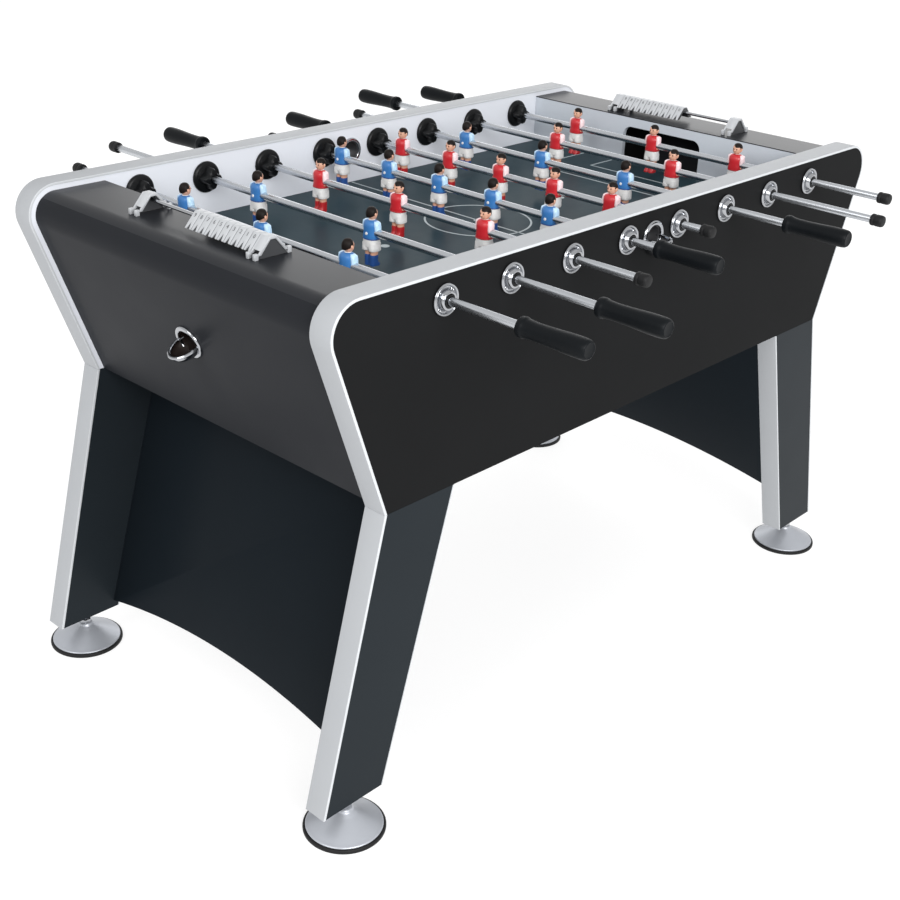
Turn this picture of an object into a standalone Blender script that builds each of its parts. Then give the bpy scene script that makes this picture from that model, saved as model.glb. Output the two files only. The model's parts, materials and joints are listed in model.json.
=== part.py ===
"""Foosball table: cabinet, eight sliding and spinning rods with men, score counters and levelling feet.

Frame: metres, +Z up, the floor at Z = 0 under the middle of the table. X runs along the table's length,
Y across it, along the rods. Front is -Y and left is -X.
"""
import math

import bmesh
import bpy
from mathutils import Matrix

# ---- cabinet -------------------------------------------------------------------------------------
HEIGHT = 0.870              # top of the side panels
HALF_WIDTH = 0.374          # outer faces of the side panels
BOARD = 0.040               # side panel and leg thickness
KINK_X, KINK_Z = 0.589, 0.534   # where each leg meets its side panel
FLARE = 0.364               # the cabinet's ends lean out this much for each metre of height
CORNER_R = 0.050            # rounded upper corner of the side panels
APRON_INSET = 0.012         # the end aprons lie this far inside the side panels' outline
APRON_T = 0.015
FLOOR_END_X = 0.430         # inner edge of the apron's bottom board
GAP = 0.0003                # kept between touching pieces
INNER_Y = HALF_WIDTH - BOARD
FIT_Y = INNER_Y - GAP       # half width of what stands between the side panels

# ---- legs ----------------------------------------------------------------------------------------
LEG_BOTTOM_Z = 0.057
LEG_TOP_INNER_X = 0.447
LEG_BOTTOM_OUTER_X, LEG_BOTTOM_INNER_X = 0.707, 0.585
LEG_PANEL_T = 0.015
ARCH_RISE = 0.036
ARCH_APEX_Z = {"left": 0.107, "right": 0.200}
FOOT_X = (LEG_BOTTOM_OUTER_X + LEG_BOTTOM_INNER_X) / 2
FOOT_Y = HALF_WIDTH - BOARD / 2
FOOT_R = 0.065
STUD_R, STUD_TOP_Z = 0.005, 0.085
STUD_HOLE_R = 0.0057
STUD_CLEARANCE = 0.003      # the stud's hole is this much deeper than the stud
LEG_PANEL_LOW_Z = 0.030     # the panel's board before its arch is cut
ARCH_STEPS, ARCH_MARGIN, ARCH_CUT_DEPTH = 16, 0.020, 0.400
CUT_MARGIN = 0.010          # a cutter stands this far past the face it cuts

# ---- playing field and goals -----------------------------------------------------------------------
FIELD_Z = 0.762             # playing surface
FIELD_T = 0.012
GOAL_X = 0.547              # inner face of each goal wall
GOAL_WALL_T = 0.009
GOAL_WALL_LOW_Z = 0.690
GOAL_HALF_W, GOAL_TOP_Z, GOAL_CORNER_R = 0.094, 0.838, 0.018
BOX_HALF_W, BOX_WALL = 0.100, 0.006
BOX_LOW_Z, BOX_HIGH_Z = 0.655, 0.800
BOX_ROOT = 0.003            # the ball box is let this far into the goal wall
BOX_CLEARANCE = 0.001       # and stops this far short of the apron
RAMP_DROP = 0.006           # the ramp's high end lies this far under the return hole's middle
MOUTH_STEPS = 4
BRACE_HALF_T, BRACE_DEPTH = 0.009, 0.090
DECK_Z = HEIGHT - APRON_INSET

# ---- rods ------------------------------------------------------------------------------------------
PITCH = 0.1376
ROD_Z = 0.830
ROD_R, ROD_BORE_R = 0.00635, 0.0052
MAN_HALF_WIDTH = 0.017
ROD_KINDS = {
    # men along the rod, reach of the handle's end and of the cap's end from the middle man
    "three": ((-0.193, 0.0, 0.193), 0.637, 0.511),
    "two": ((-0.138, 0.138), 0.700, 0.565),
    "five": ((-0.250, -0.125, 0.0, 0.125, 0.250), 0.580, 0.456),
}
# kind, team, side of the handle (-1 is the front), how far the parked rod is slid along +Y
RODS = (
    ("three", "blue", -1, 0.012),
    ("two", "blue", -1, 0.052),
    ("three", "red", 1, -0.006),
    ("five", "blue", -1, 0.033),
    ("five", "red", 1, 0.012),
    ("three", "blue", -1, 0.030),
    ("two", "red", 1, -0.032),
    ("three", "red", 1, -0.027),
)
HANDLE_LENGTH, HANDLE_SOCKET = 0.114, 0.092
CAP_LENGTH, CAP_R, CAP_SOCKET = 0.022, 0.010, 0.018
BEARING_BORE_R, BEARING_TUBE_R = 0.0071, 0.013
BEARING_HOLE_R = 0.0135
BEARING_FLANGE_R, BEARING_NUT_R, BEARING_HUB_R = 0.024, 0.030, 0.013
BEARING_NOSE, BEARING_FLANGE_T, BEARING_NUT_T, BEARING_NUT_LENGTH = 0.012, 0.004, 0.007, 0.0255
TURNED_STEPS = 12
SLIM_STEPS = 8              # for thin or small turned pieces

# ---- ball cups and score counters --------------------------------------------------------------------
ENTRY_Z, ENTRY_HOLE_R = 0.822, 0.0195
RETURN_Z, RETURN_HOLE_R = 0.697, 0.0215
CUP_WALL = 0.003
CUP_STEPS = 16
CUP_RING_WIDTH, CUP_RING_PROUD, CUP_RING_SUNK = 0.007, 0.004, 0.003
CUP_STRETCH, CUP_REACH = 1.25, 0.35     # bowl length over its width, and its shift out by hole radius
ENTRY_CUP_SINK, RETURN_CUP_SINK = 0.0031, 0.0071
RETURN_CUT_LENGTH = 0.080
COUNTER_X = 0.594           # ridge line of the score counter
COUNTER_HALF_BASE, COUNTER_RIDGE_Z, COUNTER_HALF_RIDGE = 0.033, 0.888, 0.006
BRACKET_OUTER_Y, BRACKET_INNER_Y = 0.150, 0.130
BRACKET_SINK = 0.004        # the brackets are let this far into the deck
RAIL_Z, RAIL_R = 0.8775, 0.003
RAIL_INSET = 0.005
TILE_COUNT, TILE_PITCH = 10, 0.015
TILE_LIFT = 0.003           # tiles hang this far above the deck
TILE_WALL = 0.007
TILE_TOP_WALL, TILE_INNER_HALF_RIDGE = 0.005, 0.005

COLOURS = {
    # linear colour, roughness, metallic
    "black_laminate": ((0.020, 0.021, 0.023), 0.35, 0.0),
    "slate_laminate": ((0.027, 0.033, 0.042), 0.35, 0.0),
    "light_laminate": ((0.62, 0.65, 0.72), 0.45, 0.0),
    "field_green": ((0.055, 0.085, 0.100), 0.40, 0.0),
    "chrome": ((0.75, 0.76, 0.78), 0.12, 1.0),
    "black_grip": ((0.014, 0.016, 0.018), 0.55, 0.0),
    "blue_team": ((0.025, 0.110, 0.420), 0.35, 0.0),
    "red_team": ((0.520, 0.015, 0.022), 0.35, 0.0),
    "tile_silver": ((0.62, 0.64, 0.67), 0.30, 0.5),
    "pine": ((0.55, 0.38, 0.22), 0.70, 0.0),
}


def clear_scene():
    for old in list(bpy.data.objects):
        bpy.data.objects.remove(old, do_unlink=True)


def make_collection(name):
    collection = bpy.data.collections.new(name)
    bpy.context.scene.collection.children.link(collection)
    return collection


def material(name):
    found = bpy.data.materials.get(name)
    if found:
        return found
    colour, roughness, metallic = COLOURS[name]
    made = bpy.data.materials.new(name)
    made.use_nodes = True
    shader = made.node_tree.nodes["Principled BSDF"]
    shader.inputs["Base Color"].default_value = (*colour, 1.0)
    shader.inputs["Roughness"].default_value = roughness
    shader.inputs["Metallic"].default_value = metallic
    return made


def link(obj):
    """Put a shape that is still being worked on among the cutters."""
    CUTTERS.objects.link(obj)
    obj.hide_render = True
    obj.display_type = "WIRE"
    return obj


def bake(obj):
    """Replace an object by a mesh object of its evaluated shape, in world space, with welded caps."""
    bpy.context.view_layer.update()
    graph = bpy.context.evaluated_depsgraph_get()
    mesh = bpy.data.meshes.new_from_object(obj.evaluated_get(graph))
    mesh.transform(obj.matrix_world)
    shape = bmesh.new()
    shape.from_mesh(mesh)
    bmesh.ops.remove_doubles(shape, verts=shape.verts, dist=0.000002)
    bmesh.ops.recalc_face_normals(shape, faces=shape.faces)
    shape.to_mesh(mesh)
    shape.free()
    name = obj.name
    bpy.data.objects.remove(obj, do_unlink=True)
    return link(bpy.data.objects.new(name, mesh))


def combine(target, tool, operation):
    """Boolean the tool into the target, both baked, and drop the tool."""
    boolean = target.modifiers.new(operation.lower(), "BOOLEAN")
    boolean.operation = operation
    boolean.solver = "EXACT"
    boolean.object = tool
    result = bake(target)
    bpy.data.objects.remove(tool, do_unlink=True)
    return result


def finish_part(obj, name, colour, origin=(0.0, 0.0, 0.0), smooth=False):
    """Move a baked shape to the parts, named and coloured, with its origin on its joint or seat."""
    CUTTERS.objects.unlink(obj)
    PARTS.objects.link(obj)
    obj.hide_render = False
    obj.display_type = "TEXTURED"
    obj.name = name
    obj.data.name = name
    obj.data.transform(Matrix.Translation([-c for c in origin]))
    obj.location = origin
    obj.data.materials.clear()
    obj.data.materials.append(material(colour))
    if smooth:
        obj.data.shade_smooth()
        obj.data.set_sharp_from_angle(angle=math.radians(35))
    return obj


def outline_plate(name, loops, thickness, across="Y", centre=0.0):
    """Extrude closed outlines, given in the XZ plane for across Y or in the YZ plane for across X."""
    curve = bpy.data.curves.new(name, "CURVE")
    curve.dimensions = "2D"
    curve.fill_mode = "BOTH"
    curve.extrude = thickness / 2
    for loop in loops:
        spline = curve.splines.new("POLY")
        spline.points.add(len(loop) - 1)
        for point, (u, v) in zip(spline.points, loop):
            point.co = (u, v, 0.0, 1.0)
        spline.use_cyclic_u = True
    obj = link(bpy.data.objects.new(name, curve))
    if across == "Y":
        obj.rotation_euler = (math.radians(90), 0.0, 0.0)
        obj.location = (0.0, centre, 0.0)
    else:
        obj.rotation_euler = (math.radians(90), 0.0, math.radians(90))
        obj.location = (centre, 0.0, 0.0)
    return bake(obj)


def turned(name, profile, closed, steps=TURNED_STEPS, at=(0.0, 0.0, 0.0), tilt=(0.0, 0.0, 0.0)):
    """Turn a profile of (radius, height) points, listed down the outer side, about local Z."""
    mesh = bpy.data.meshes.new(name)
    edges = [(i, i + 1) for i in range(len(profile) - 1)]
    if closed:
        edges.append((len(profile) - 1, 0))
    mesh.from_pydata([(r, 0.0, z) for r, z in profile], edges, [])
    obj = link(bpy.data.objects.new(name, mesh))
    screw = obj.modifiers.new("turn", "SCREW")
    screw.axis = "Z"
    screw.steps = steps
    screw.render_steps = steps
    screw.use_merge_vertices = True
    screw.merge_threshold = 0.00005
    obj.location = at
    obj.rotation_euler = tilt
    return bake(obj)


def cylinder(name, radius, length, at, tilt=(0.0, 0.0, 0.0), steps=TURNED_STEPS):
    half = length / 2
    profile = [(0.0, half), (radius, half), (radius, -half), (0.0, -half)]
    return turned(name, profile, False, steps, at, tilt)


def block(name, low, high, taper=1.0):
    """A box between two corners whose lower face is scaled by taper about its centre."""
    mesh = bpy.data.meshes.new(name)
    shape = bmesh.new()
    bmesh.ops.create_cube(shape, size=1.0)
    middle = [(a + b) / 2 for a, b in zip(low, high)]
    for vert in shape.verts:
        scale = taper if vert.co.z < 0 else 1.0
        vert.co.x = middle[0] + vert.co.x * (high[0] - low[0]) * scale
        vert.co.y = middle[1] + vert.co.y * (high[1] - low[1]) * scale
        vert.co.z = middle[2] + vert.co.z * (high[2] - low[2])
    shape.to_mesh(mesh)
    shape.free()
    return link(bpy.data.objects.new(name, mesh))


def circle_points(u, v, radius, steps=TURNED_STEPS):
    return [
        (u + radius * math.cos(2 * math.pi * i / steps), v + radius * math.sin(2 * math.pi * i / steps))
        for i in range(steps)
    ]


# ---- the cabinet's outline -----------------------------------------------------------------------
LEAN = math.atan(FLARE)
CORNER_Z = HEIGHT - CORNER_R
CORNER_X = KINK_X + FLARE * (CORNER_Z - KINK_Z) - CORNER_R / math.cos(LEAN)


def flare_x(z, inset=0.0):
    """X of the leaning end at height z, moved in by inset measured square to the end."""
    return KINK_X + FLARE * (z - KINK_Z) - inset / math.cos(LEAN)


def end_path(inset, steps=6):
    """The right end from just under the rounded corner to the level top, as (x, z) points."""
    radius = CORNER_R - inset
    points = []
    for i in range(steps + 1):
        angle = -LEAN + (math.pi / 2 + LEAN) * i / steps
        points.append((CORNER_X + radius * math.cos(angle), CORNER_Z + radius * math.sin(angle)))
    return points


def mirrored(points, sign):
    return [(sign * x, z) for x, z in points]


def rod_x(index):
    return PITCH * (index - (len(RODS) - 1) / 2)


def make_side_panel(name, side):
    """A long side with its eight bearing holes, its ball entry hole and the entry cup."""
    right = [(KINK_X, KINK_Z)] + end_path(0.0)
    outline = right + mirrored(right[::-1], -1)
    holes = [circle_points(rod_x(i), ROD_Z, BEARING_HOLE_R) for i in range(len(RODS))]
    holes.append(circle_points(0.0, ENTRY_Z, ENTRY_HOLE_R, CUP_STEPS))
    panel = outline_plate(name, [outline] + holes, BOARD, "Y", side * (HALF_WIDTH - BOARD / 2))
    cup = make_cup(ENTRY_HOLE_R, 0.0, ENTRY_CUP_SINK)
    cup.data.transform(Matrix.Rotation(math.radians(90 if side > 0 else -90), 4, "Z"))
    cup.data.transform(Matrix.Translation((0.0, side * HALF_WIDTH, ENTRY_Z)))
    panel = combine(panel, cup, "UNION")
    return finish_part(panel, name, "black_laminate")


def make_cup(hole_r, lean, sink):
    """A ring around a hole in a wall whose outside is +X, and the half bowl that hangs from it.

    The ring's mouth and the bowl's hollow are a little wider than the hole, so no two faces coincide.
    """
    ring_r = hole_r + CUP_RING_WIDTH
    mouth_r = hole_r + 0.0005
    hollow_r = hole_r + 0.0012
    ring = [
        (ring_r, CUP_RING_PROUD),
        (ring_r, -CUP_RING_SUNK),
        (mouth_r, -CUP_RING_SUNK),
        (mouth_r, CUP_RING_PROUD),
    ]
    bezel = turned("ring", ring, True, CUP_STEPS, tilt=(0.0, math.radians(90) + lean, 0.0))
    bowl_r = hollow_r + CUP_WALL
    arc = [math.radians(a) for a in (0, -30, -60)]
    inner = [(0.0, -hollow_r)] + [(hollow_r * math.cos(a), hollow_r * math.sin(a)) for a in arc[::-1]]
    outer = [(bowl_r * math.cos(a), bowl_r * math.sin(a)) for a in arc] + [(0.0, -bowl_r)]
    bowl = turned("bowl", inner + outer, False, CUP_STEPS)
    bowl.data.transform(Matrix.Scale(CUP_STRETCH, 4, (1.0, 0.0, 0.0)))
    bowl.data.transform(Matrix.Translation((hole_r * CUP_REACH, 0.0, -sink)))
    wall = block("wall", (-0.2, -0.2, -0.2), (-0.0015, 0.2, 0.2))
    wall.data.transform(Matrix.Rotation(lean, 4, "Y"))
    bowl = combine(bowl, wall, "DIFFERENCE")
    return combine(bezel, bowl, "UNION")


def make_leg(name, x_sign, y_sign):
    """A splayed, tapered board with a hole for its leveller's stud."""
    top = KINK_Z - GAP
    outline = [
        (LEG_TOP_INNER_X, top),
        (LEG_BOTTOM_INNER_X, LEG_BOTTOM_Z),
        (LEG_BOTTOM_OUTER_X, LEG_BOTTOM_Z),
        (KINK_X, top),
    ]
    leg = outline_plate(name, [mirrored(outline, x_sign)], BOARD, "Y", y_sign * (HALF_WIDTH - BOARD / 2))
    low = LEG_BOTTOM_Z - CUT_MARGIN
    high = STUD_TOP_Z + STUD_CLEARANCE
    at = (x_sign * FOOT_X, y_sign * FOOT_Y, (low + high) / 2)
    hole = cylinder("stud_hole", STUD_HOLE_R, high - low, at)
    leg = combine(leg, hole, "DIFFERENCE")
    return finish_part(leg, name, "slate_laminate")


def make_leg_panel(name, side):
    """The board between an end's two legs, leaning with them, with its arched bottom."""
    x_sign = 1 if side == "right" else -1
    slope = (LEG_BOTTOM_INNER_X - LEG_TOP_INNER_X) / (KINK_Z - LEG_BOTTOM_Z)
    top_z = KINK_Z - GAP
    low_x = LEG_TOP_INNER_X + slope * (top_z - LEG_PANEL_LOW_Z)
    face = [
        (LEG_TOP_INNER_X, top_z),
        (low_x, LEG_PANEL_LOW_Z),
        (low_x + LEG_PANEL_T, LEG_PANEL_LOW_Z),
        (LEG_TOP_INNER_X + LEG_PANEL_T, top_z),
    ]
    board = outline_plate(name, [mirrored(face, x_sign)], 2 * FIT_Y, "Y")
    apex = ARCH_APEX_Z[side]
    radius = (INNER_Y ** 2 + ARCH_RISE ** 2) / (2 * ARCH_RISE)
    half_span = INNER_Y + ARCH_MARGIN
    reach = math.asin(half_span / radius)
    arch = []
    for i in range(ARCH_STEPS + 1):
        angle = -reach + 2 * reach * i / ARCH_STEPS
        arch.append((radius * math.sin(angle), apex - radius + radius * math.cos(angle)))
    arch += [(half_span, -ARCH_MARGIN), (-half_span, -ARCH_MARGIN)]
    cutter = outline_plate("arch", [arch], ARCH_CUT_DEPTH, "X", x_sign * LEG_BOTTOM_INNER_X)
    board = combine(board, cutter, "DIFFERENCE")
    return finish_part(board, name, "slate_laminate")


def make_end_apron(name, x_sign):
    """The leaning end board, its deck and bottom board, the return cup, and the score counter's rail."""
    inner = APRON_INSET + APRON_T
    deck_end = GOAL_X + GOAL_WALL_T + GAP
    section = [(deck_end, DECK_Z - APRON_T), (deck_end, DECK_Z)]
    section += end_path(APRON_INSET)[::-1]
    section += [(flare_x(KINK_Z, APRON_INSET), KINK_Z), (FLOOR_END_X, KINK_Z)]
    section += [(FLOOR_END_X, KINK_Z + APRON_T), (flare_x(KINK_Z + APRON_T, inner), KINK_Z + APRON_T)]
    section += end_path(inner)
    apron = outline_plate(name, [mirrored(section, x_sign)], 2 * FIT_Y, "Y")

    face_x = flare_x(RETURN_Z, APRON_INSET)
    across = (0.0, math.radians(90) + LEAN, 0.0)
    hole = cylinder("hole", RETURN_HOLE_R, RETURN_CUT_LENGTH, (0.0, 0.0, 0.0), across, CUP_STEPS)
    hole.data.transform(Matrix.Translation((face_x, 0.0, RETURN_Z)))
    cup = make_cup(RETURN_HOLE_R, LEAN, RETURN_CUP_SINK)
    cup.data.transform(Matrix.Translation((face_x, 0.0, RETURN_Z)))
    for tool in (hole, cup):
        tool.data.transform(Matrix.Scale(x_sign, 4, (1.0, 0.0, 0.0)))
        if x_sign < 0:
            tool.data.flip_normals()
    apron = combine(apron, hole, "DIFFERENCE")
    apron = combine(apron, cup, "UNION")

    bracket_width = BRACKET_OUTER_Y - BRACKET_INNER_Y
    for y_sign in (-1, 1):
        outline = [(x_sign * COUNTER_X + u, z) for u, z in counter_outline(DECK_Z - BRACKET_SINK)]
        centre = y_sign * (BRACKET_OUTER_Y + BRACKET_INNER_Y) / 2
        bracket = outline_plate("bracket", [outline], bracket_width, "Y", centre)
        apron = combine(apron, bracket, "UNION")
    at = (x_sign * COUNTER_X, 0.0, RAIL_Z)
    rail_length = 2 * (BRACKET_OUTER_Y - RAIL_INSET)
    rail = cylinder("rail", RAIL_R, rail_length, at, (math.radians(90), 0.0, 0.0), SLIM_STEPS)
    apron = combine(apron, rail, "UNION")
    return finish_part(apron, name, "black_laminate")


def counter_outline(low_z):
    """Outer A shape shared by the brackets and the tiles, as (offset from the ridge, z)."""
    slope = (COUNTER_HALF_BASE - COUNTER_HALF_RIDGE) / (COUNTER_RIDGE_Z - DECK_Z)
    half_low = COUNTER_HALF_RIDGE + slope * (COUNTER_RIDGE_Z - low_z)
    return [
        (-half_low, low_z),
        (half_low, low_z),
        (COUNTER_HALF_RIDGE, COUNTER_RIDGE_Z),
        (-COUNTER_HALF_RIDGE, COUNTER_RIDGE_Z),
    ]


def make_score_tiles(name, x_sign, y_sign):
    """The row of score tiles, pushed up against one bracket, with room inside for the rail."""
    low_z = DECK_Z + TILE_LIFT
    a_shape = counter_outline(low_z)
    inner_top = COUNTER_RIDGE_Z - TILE_TOP_WALL
    inside = [
        (a_shape[0][0] + TILE_WALL, low_z),
        (-TILE_INNER_HALF_RIDGE, inner_top),
        (TILE_INNER_HALF_RIDGE, inner_top),
        (a_shape[1][0] - TILE_WALL, low_z),
    ]
    outline = [a_shape[0]] + inside + a_shape[1:]
    outline = [(x_sign * COUNTER_X + u, z) for u, z in outline]
    length = TILE_COUNT * TILE_PITCH
    near = y_sign * (BRACKET_INNER_Y - GAP)
    centre = near - y_sign * length / 2
    tiles = outline_plate(name, [outline], length, "Y", centre)
    return finish_part(tiles, name, "tile_silver", (x_sign * COUNTER_X, centre, RAIL_Z))


def make_goal_wall(name, x_sign):
    """The end wall of the field with its goal mouth, and the box behind it that leads the ball out."""
    low, high = FIELD_Z + GAP, GOAL_TOP_Z
    mouth = [(-GOAL_HALF_W, low), (GOAL_HALF_W, low)]
    for sign, start in ((1, 0.0), (-1, math.pi / 2)):
        for i in range(MOUTH_STEPS + 1):
            angle = start + math.pi / 2 * i / MOUTH_STEPS
            mouth.append((
                sign * (GOAL_HALF_W - GOAL_CORNER_R) + GOAL_CORNER_R * math.cos(angle),
                high - GOAL_CORNER_R + GOAL_CORNER_R * math.sin(angle),
            ))
    board = [(-FIT_Y, GOAL_WALL_LOW_Z), (FIT_Y, GOAL_WALL_LOW_Z), (FIT_Y, DECK_Z), (-FIT_Y, DECK_Z)]
    centre = x_sign * (GOAL_X + GOAL_WALL_T / 2)
    wall = outline_plate(name, [board, mouth], GOAL_WALL_T, "X", centre)

    reach = APRON_INSET + APRON_T + BOX_CLEARANCE
    root = GOAL_X + GOAL_WALL_T - BOX_ROOT
    cheek = [
        (root, BOX_LOW_Z),
        (flare_x(BOX_LOW_Z, reach), BOX_LOW_Z),
        (flare_x(BOX_HIGH_Z, reach), BOX_HIGH_Z),
        (root, BOX_HIGH_Z),
    ]
    for y_sign in (-1, 1):
        at = y_sign * (BOX_HALF_W + BOX_WALL / 2)
        side = outline_plate("cheek", [mirrored(cheek, x_sign)], BOX_WALL, "Y", at)
        wall = combine(wall, side, "UNION")
    high_end = RETURN_Z - RAMP_DROP
    low_end = RETURN_Z - RETURN_HOLE_R
    ramp = [
        (root, high_end),
        (flare_x(low_end, reach), low_end),
        (flare_x(low_end - BOX_WALL, reach), low_end - BOX_WALL),
        (root, high_end - BOX_WALL),
    ]
    floor = outline_plate("ramp", [mirrored(ramp, x_sign)], 2 * BOX_HALF_W + BOX_WALL, "Y")
    wall = combine(wall, floor, "UNION")
    return finish_part(wall, name, "light_laminate")


def make_playfield():
    half_x = GOAL_X - GAP
    field = block("playfield", (-half_x, -FIT_Y, FIELD_Z - FIELD_T), (half_x, FIT_Y, FIELD_Z))
    return finish_part(field, "playfield", "field_green")


def make_field_brace():
    top = FIELD_Z - FIELD_T - GAP
    low = (-BRACE_HALF_T, -FIT_Y, top - BRACE_DEPTH)
    brace = block("field_brace", low, (BRACE_HALF_T, FIT_Y, top))
    return finish_part(brace, "field_brace", "pine")


def make_bearing(name, x, y_sign):
    """Outer flange, tube through the board, inner disc and its hub, turned about the rod's axis."""
    inner = -BOARD - GAP
    profile = [
        (BEARING_BORE_R, BEARING_NOSE),
        (BEARING_HUB_R, BEARING_NOSE - 0.001),
        (BEARING_FLANGE_R, BEARING_FLANGE_T),
        (BEARING_FLANGE_R, GAP),
        (BEARING_TUBE_R, GAP),
        (BEARING_TUBE_R, inner),
        (BEARING_NUT_R, inner),
        (BEARING_NUT_R, inner - BEARING_NUT_T),
        (BEARING_HUB_R, inner - BEARING_NUT_LENGTH),
        (BEARING_BORE_R, inner - BEARING_NUT_LENGTH),
    ]
    tilt = (math.radians(-90 * y_sign), 0.0, 0.0)
    at = (x, y_sign * HALF_WIDTH, ROD_Z)
    bearing = turned(name, profile, True, at=at, tilt=tilt)
    return finish_part(bearing, name, "chrome", at, smooth=True)


def make_man():
    """One man facing +X, hung on the rod's axis at the origin, with a hole for the rod."""
    man = block("man", (-0.0085, -0.0095, -0.015), (0.0085, 0.0095, 0.013), 0.95)
    pieces = [
        block("arms", (-0.006, -MAN_HALF_WIDTH, -0.009), (0.006, MAN_HALF_WIDTH, 0.010), 0.97),
        block("shorts", (-0.0090, -0.0118, -0.038), (0.0090, 0.0118, -0.0135), 0.98),
        block("legs", (-0.0068, -0.0095, -0.0610), (0.0068, 0.0095, -0.0370), 0.97),
        block("toes", (0.0030, -0.0088, -0.0605), (0.0110, 0.0088, -0.0530), 0.95),
    ]
    head_profile = [(0.0, 0.0115), (0.0072, 0.0085), (0.0095, 0.0), (0.0072, -0.0100), (0.0, -0.0110)]
    pieces.append(turned("head", head_profile, False, SLIM_STEPS, (0.0, 0.0, 0.0215)))
    for piece in pieces:
        man = combine(man, piece, "UNION")
    wall_middle = (ROD_R + ROD_BORE_R) / 2
    length = 2 * (MAN_HALF_WIDTH + CUT_MARGIN)
    along = (math.radians(90), 0.0, 0.0)
    hole = cylinder("hole", wall_middle, length, (0.0, 0.0, 0.0), along, SLIM_STEPS)
    return combine(man, hole, "DIFFERENCE")


def make_rod(name, pattern, x, spec):
    """The hollow rod with its men pinned along it."""
    kind, team, side, slid = spec
    men, handle_end, cap_end = ROD_KINDS[kind]
    in_handle = side * (handle_end - HANDLE_LENGTH + HANDLE_SOCKET - GAP)
    in_cap = -side * (cap_end - CAP_LENGTH + CAP_SOCKET - GAP)
    low, high = sorted((in_handle, in_cap))
    profile = [(ROD_R, high), (ROD_R, low), (ROD_BORE_R, low), (ROD_BORE_R, high)]
    tube = turned(name, profile, True, tilt=(math.radians(-90), 0.0, 0.0))
    facing = Matrix.Rotation(math.radians(0 if team == "blue" else 180), 4, "Z")
    crowd = bmesh.new()
    for y in men:
        copy = pattern.data.copy()
        copy.transform(Matrix.Translation((0.0, y, 0.0)) @ facing)
        crowd.from_mesh(copy)
        bpy.data.meshes.remove(copy)
    mesh = bpy.data.meshes.new("men")
    crowd.to_mesh(mesh)
    crowd.free()
    team_men = link(bpy.data.objects.new("men", mesh))
    rod = combine(tube, team_men, "UNION")
    origin = (x, slid, ROD_Z)
    rod.data.transform(Matrix.Translation(origin))
    return finish_part(rod, name, team + "_team", origin)


def make_handle(name, x, spec):
    """A waisted grip with a collar, bored to take the rod's end."""
    kind, _, side, slid = spec
    handle_end = ROD_KINDS[kind][1]
    profile = [
        (0.0, HANDLE_LENGTH),
        (0.0120, HANDLE_LENGTH),
        (0.0143, 0.109),
        (0.0147, 0.084),
        (0.0134, 0.052),
        (0.0128, 0.030),
        (0.0150, 0.009),
        (0.0148, 0.0),
        (ROD_R + GAP, 0.0),
        (ROD_R + GAP, HANDLE_SOCKET),
        (0.0, HANDLE_SOCKET),
    ]
    origin = (x, slid, ROD_Z)
    at = (x, slid + side * (handle_end - HANDLE_LENGTH), ROD_Z)
    handle = turned(name, profile, False, at=at, tilt=(math.radians(-90 * side), 0.0, 0.0))
    return finish_part(handle, name, "black_grip", origin, smooth=True)


def make_end_cap(name, x, spec):
    """The rubber cap on the rod's far end."""
    kind, _, side, slid = spec
    cap_end = ROD_KINDS[kind][2]
    profile = [
        (0.0, CAP_LENGTH),
        (CAP_R - 0.002, CAP_LENGTH),
        (CAP_R, CAP_LENGTH - 0.003),
        (CAP_R, 0.0),
        (ROD_R + GAP, 0.0),
        (ROD_R + GAP, CAP_SOCKET),
        (0.0, CAP_SOCKET),
    ]
    origin = (x, slid, ROD_Z)
    at = (x, slid - side * (cap_end - CAP_LENGTH), ROD_Z)
    cap = turned(name, profile, False, at=at, tilt=(math.radians(90 * side), 0.0, 0.0))
    return finish_part(cap, name, "black_grip", origin, smooth=True)


def make_leveller(name, x_sign, y_sign):
    """A conical foot on a rubber ring with the threaded stud that screws into the leg."""
    profile = [
        (0.0, STUD_TOP_Z),
        (STUD_R, STUD_TOP_Z),
        (STUD_R, 0.046),
        (0.0125, 0.038),
        (0.0600, 0.0095),
        (0.0620, 0.006),
        (FOOT_R, 0.005),
        (FOOT_R, 0.0),
        (0.0, 0.0),
    ]
    at = (x_sign * FOOT_X, y_sign * FOOT_Y, 0.0)
    foot = turned(name, profile, False, steps=CUP_STEPS, at=at)
    return finish_part(foot, name, "tile_silver", at, smooth=True)


def build_cabinet():
    for name, side in (("front", -1), ("rear", 1)):
        make_side_panel(f"side_panel_{name}", side)
        for index in range(len(RODS)):
            make_bearing(f"bearing_{name}_{index + 1}", rod_x(index), side)
        for end, x_sign in (("left", -1), ("right", 1)):
            make_leg(f"leg_{name}_{end}", x_sign, side)
            make_leveller(f"leveller_{name}_{end}", x_sign, side)
    for end, x_sign in (("left", -1), ("right", 1)):
        make_end_apron(f"end_apron_{end}", x_sign)
        make_goal_wall(f"goal_wall_{end}", x_sign)
        make_leg_panel(f"leg_panel_{end}", end)
        make_score_tiles(f"score_tiles_{end}", x_sign, x_sign)
    make_playfield()
    make_field_brace()


def build_rods():
    pattern = make_man()
    for index, spec in enumerate(RODS):
        x = rod_x(index)
        make_rod(f"rod_{index + 1}", pattern, x, spec)
        make_handle(f"handle_{index + 1}", x, spec)
        make_end_cap(f"end_cap_{index + 1}", x, spec)
    bpy.data.objects.remove(pattern, do_unlink=True)


clear_scene()
PARTS = make_collection("foosball_table")
CUTTERS = make_collection("cutters")
build_cabinet()
build_rods()
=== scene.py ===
"""Looks of the foosball table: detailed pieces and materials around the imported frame."""
import json
import math

import bmesh
import bpy
from mathutils import Matrix, Vector


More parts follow.
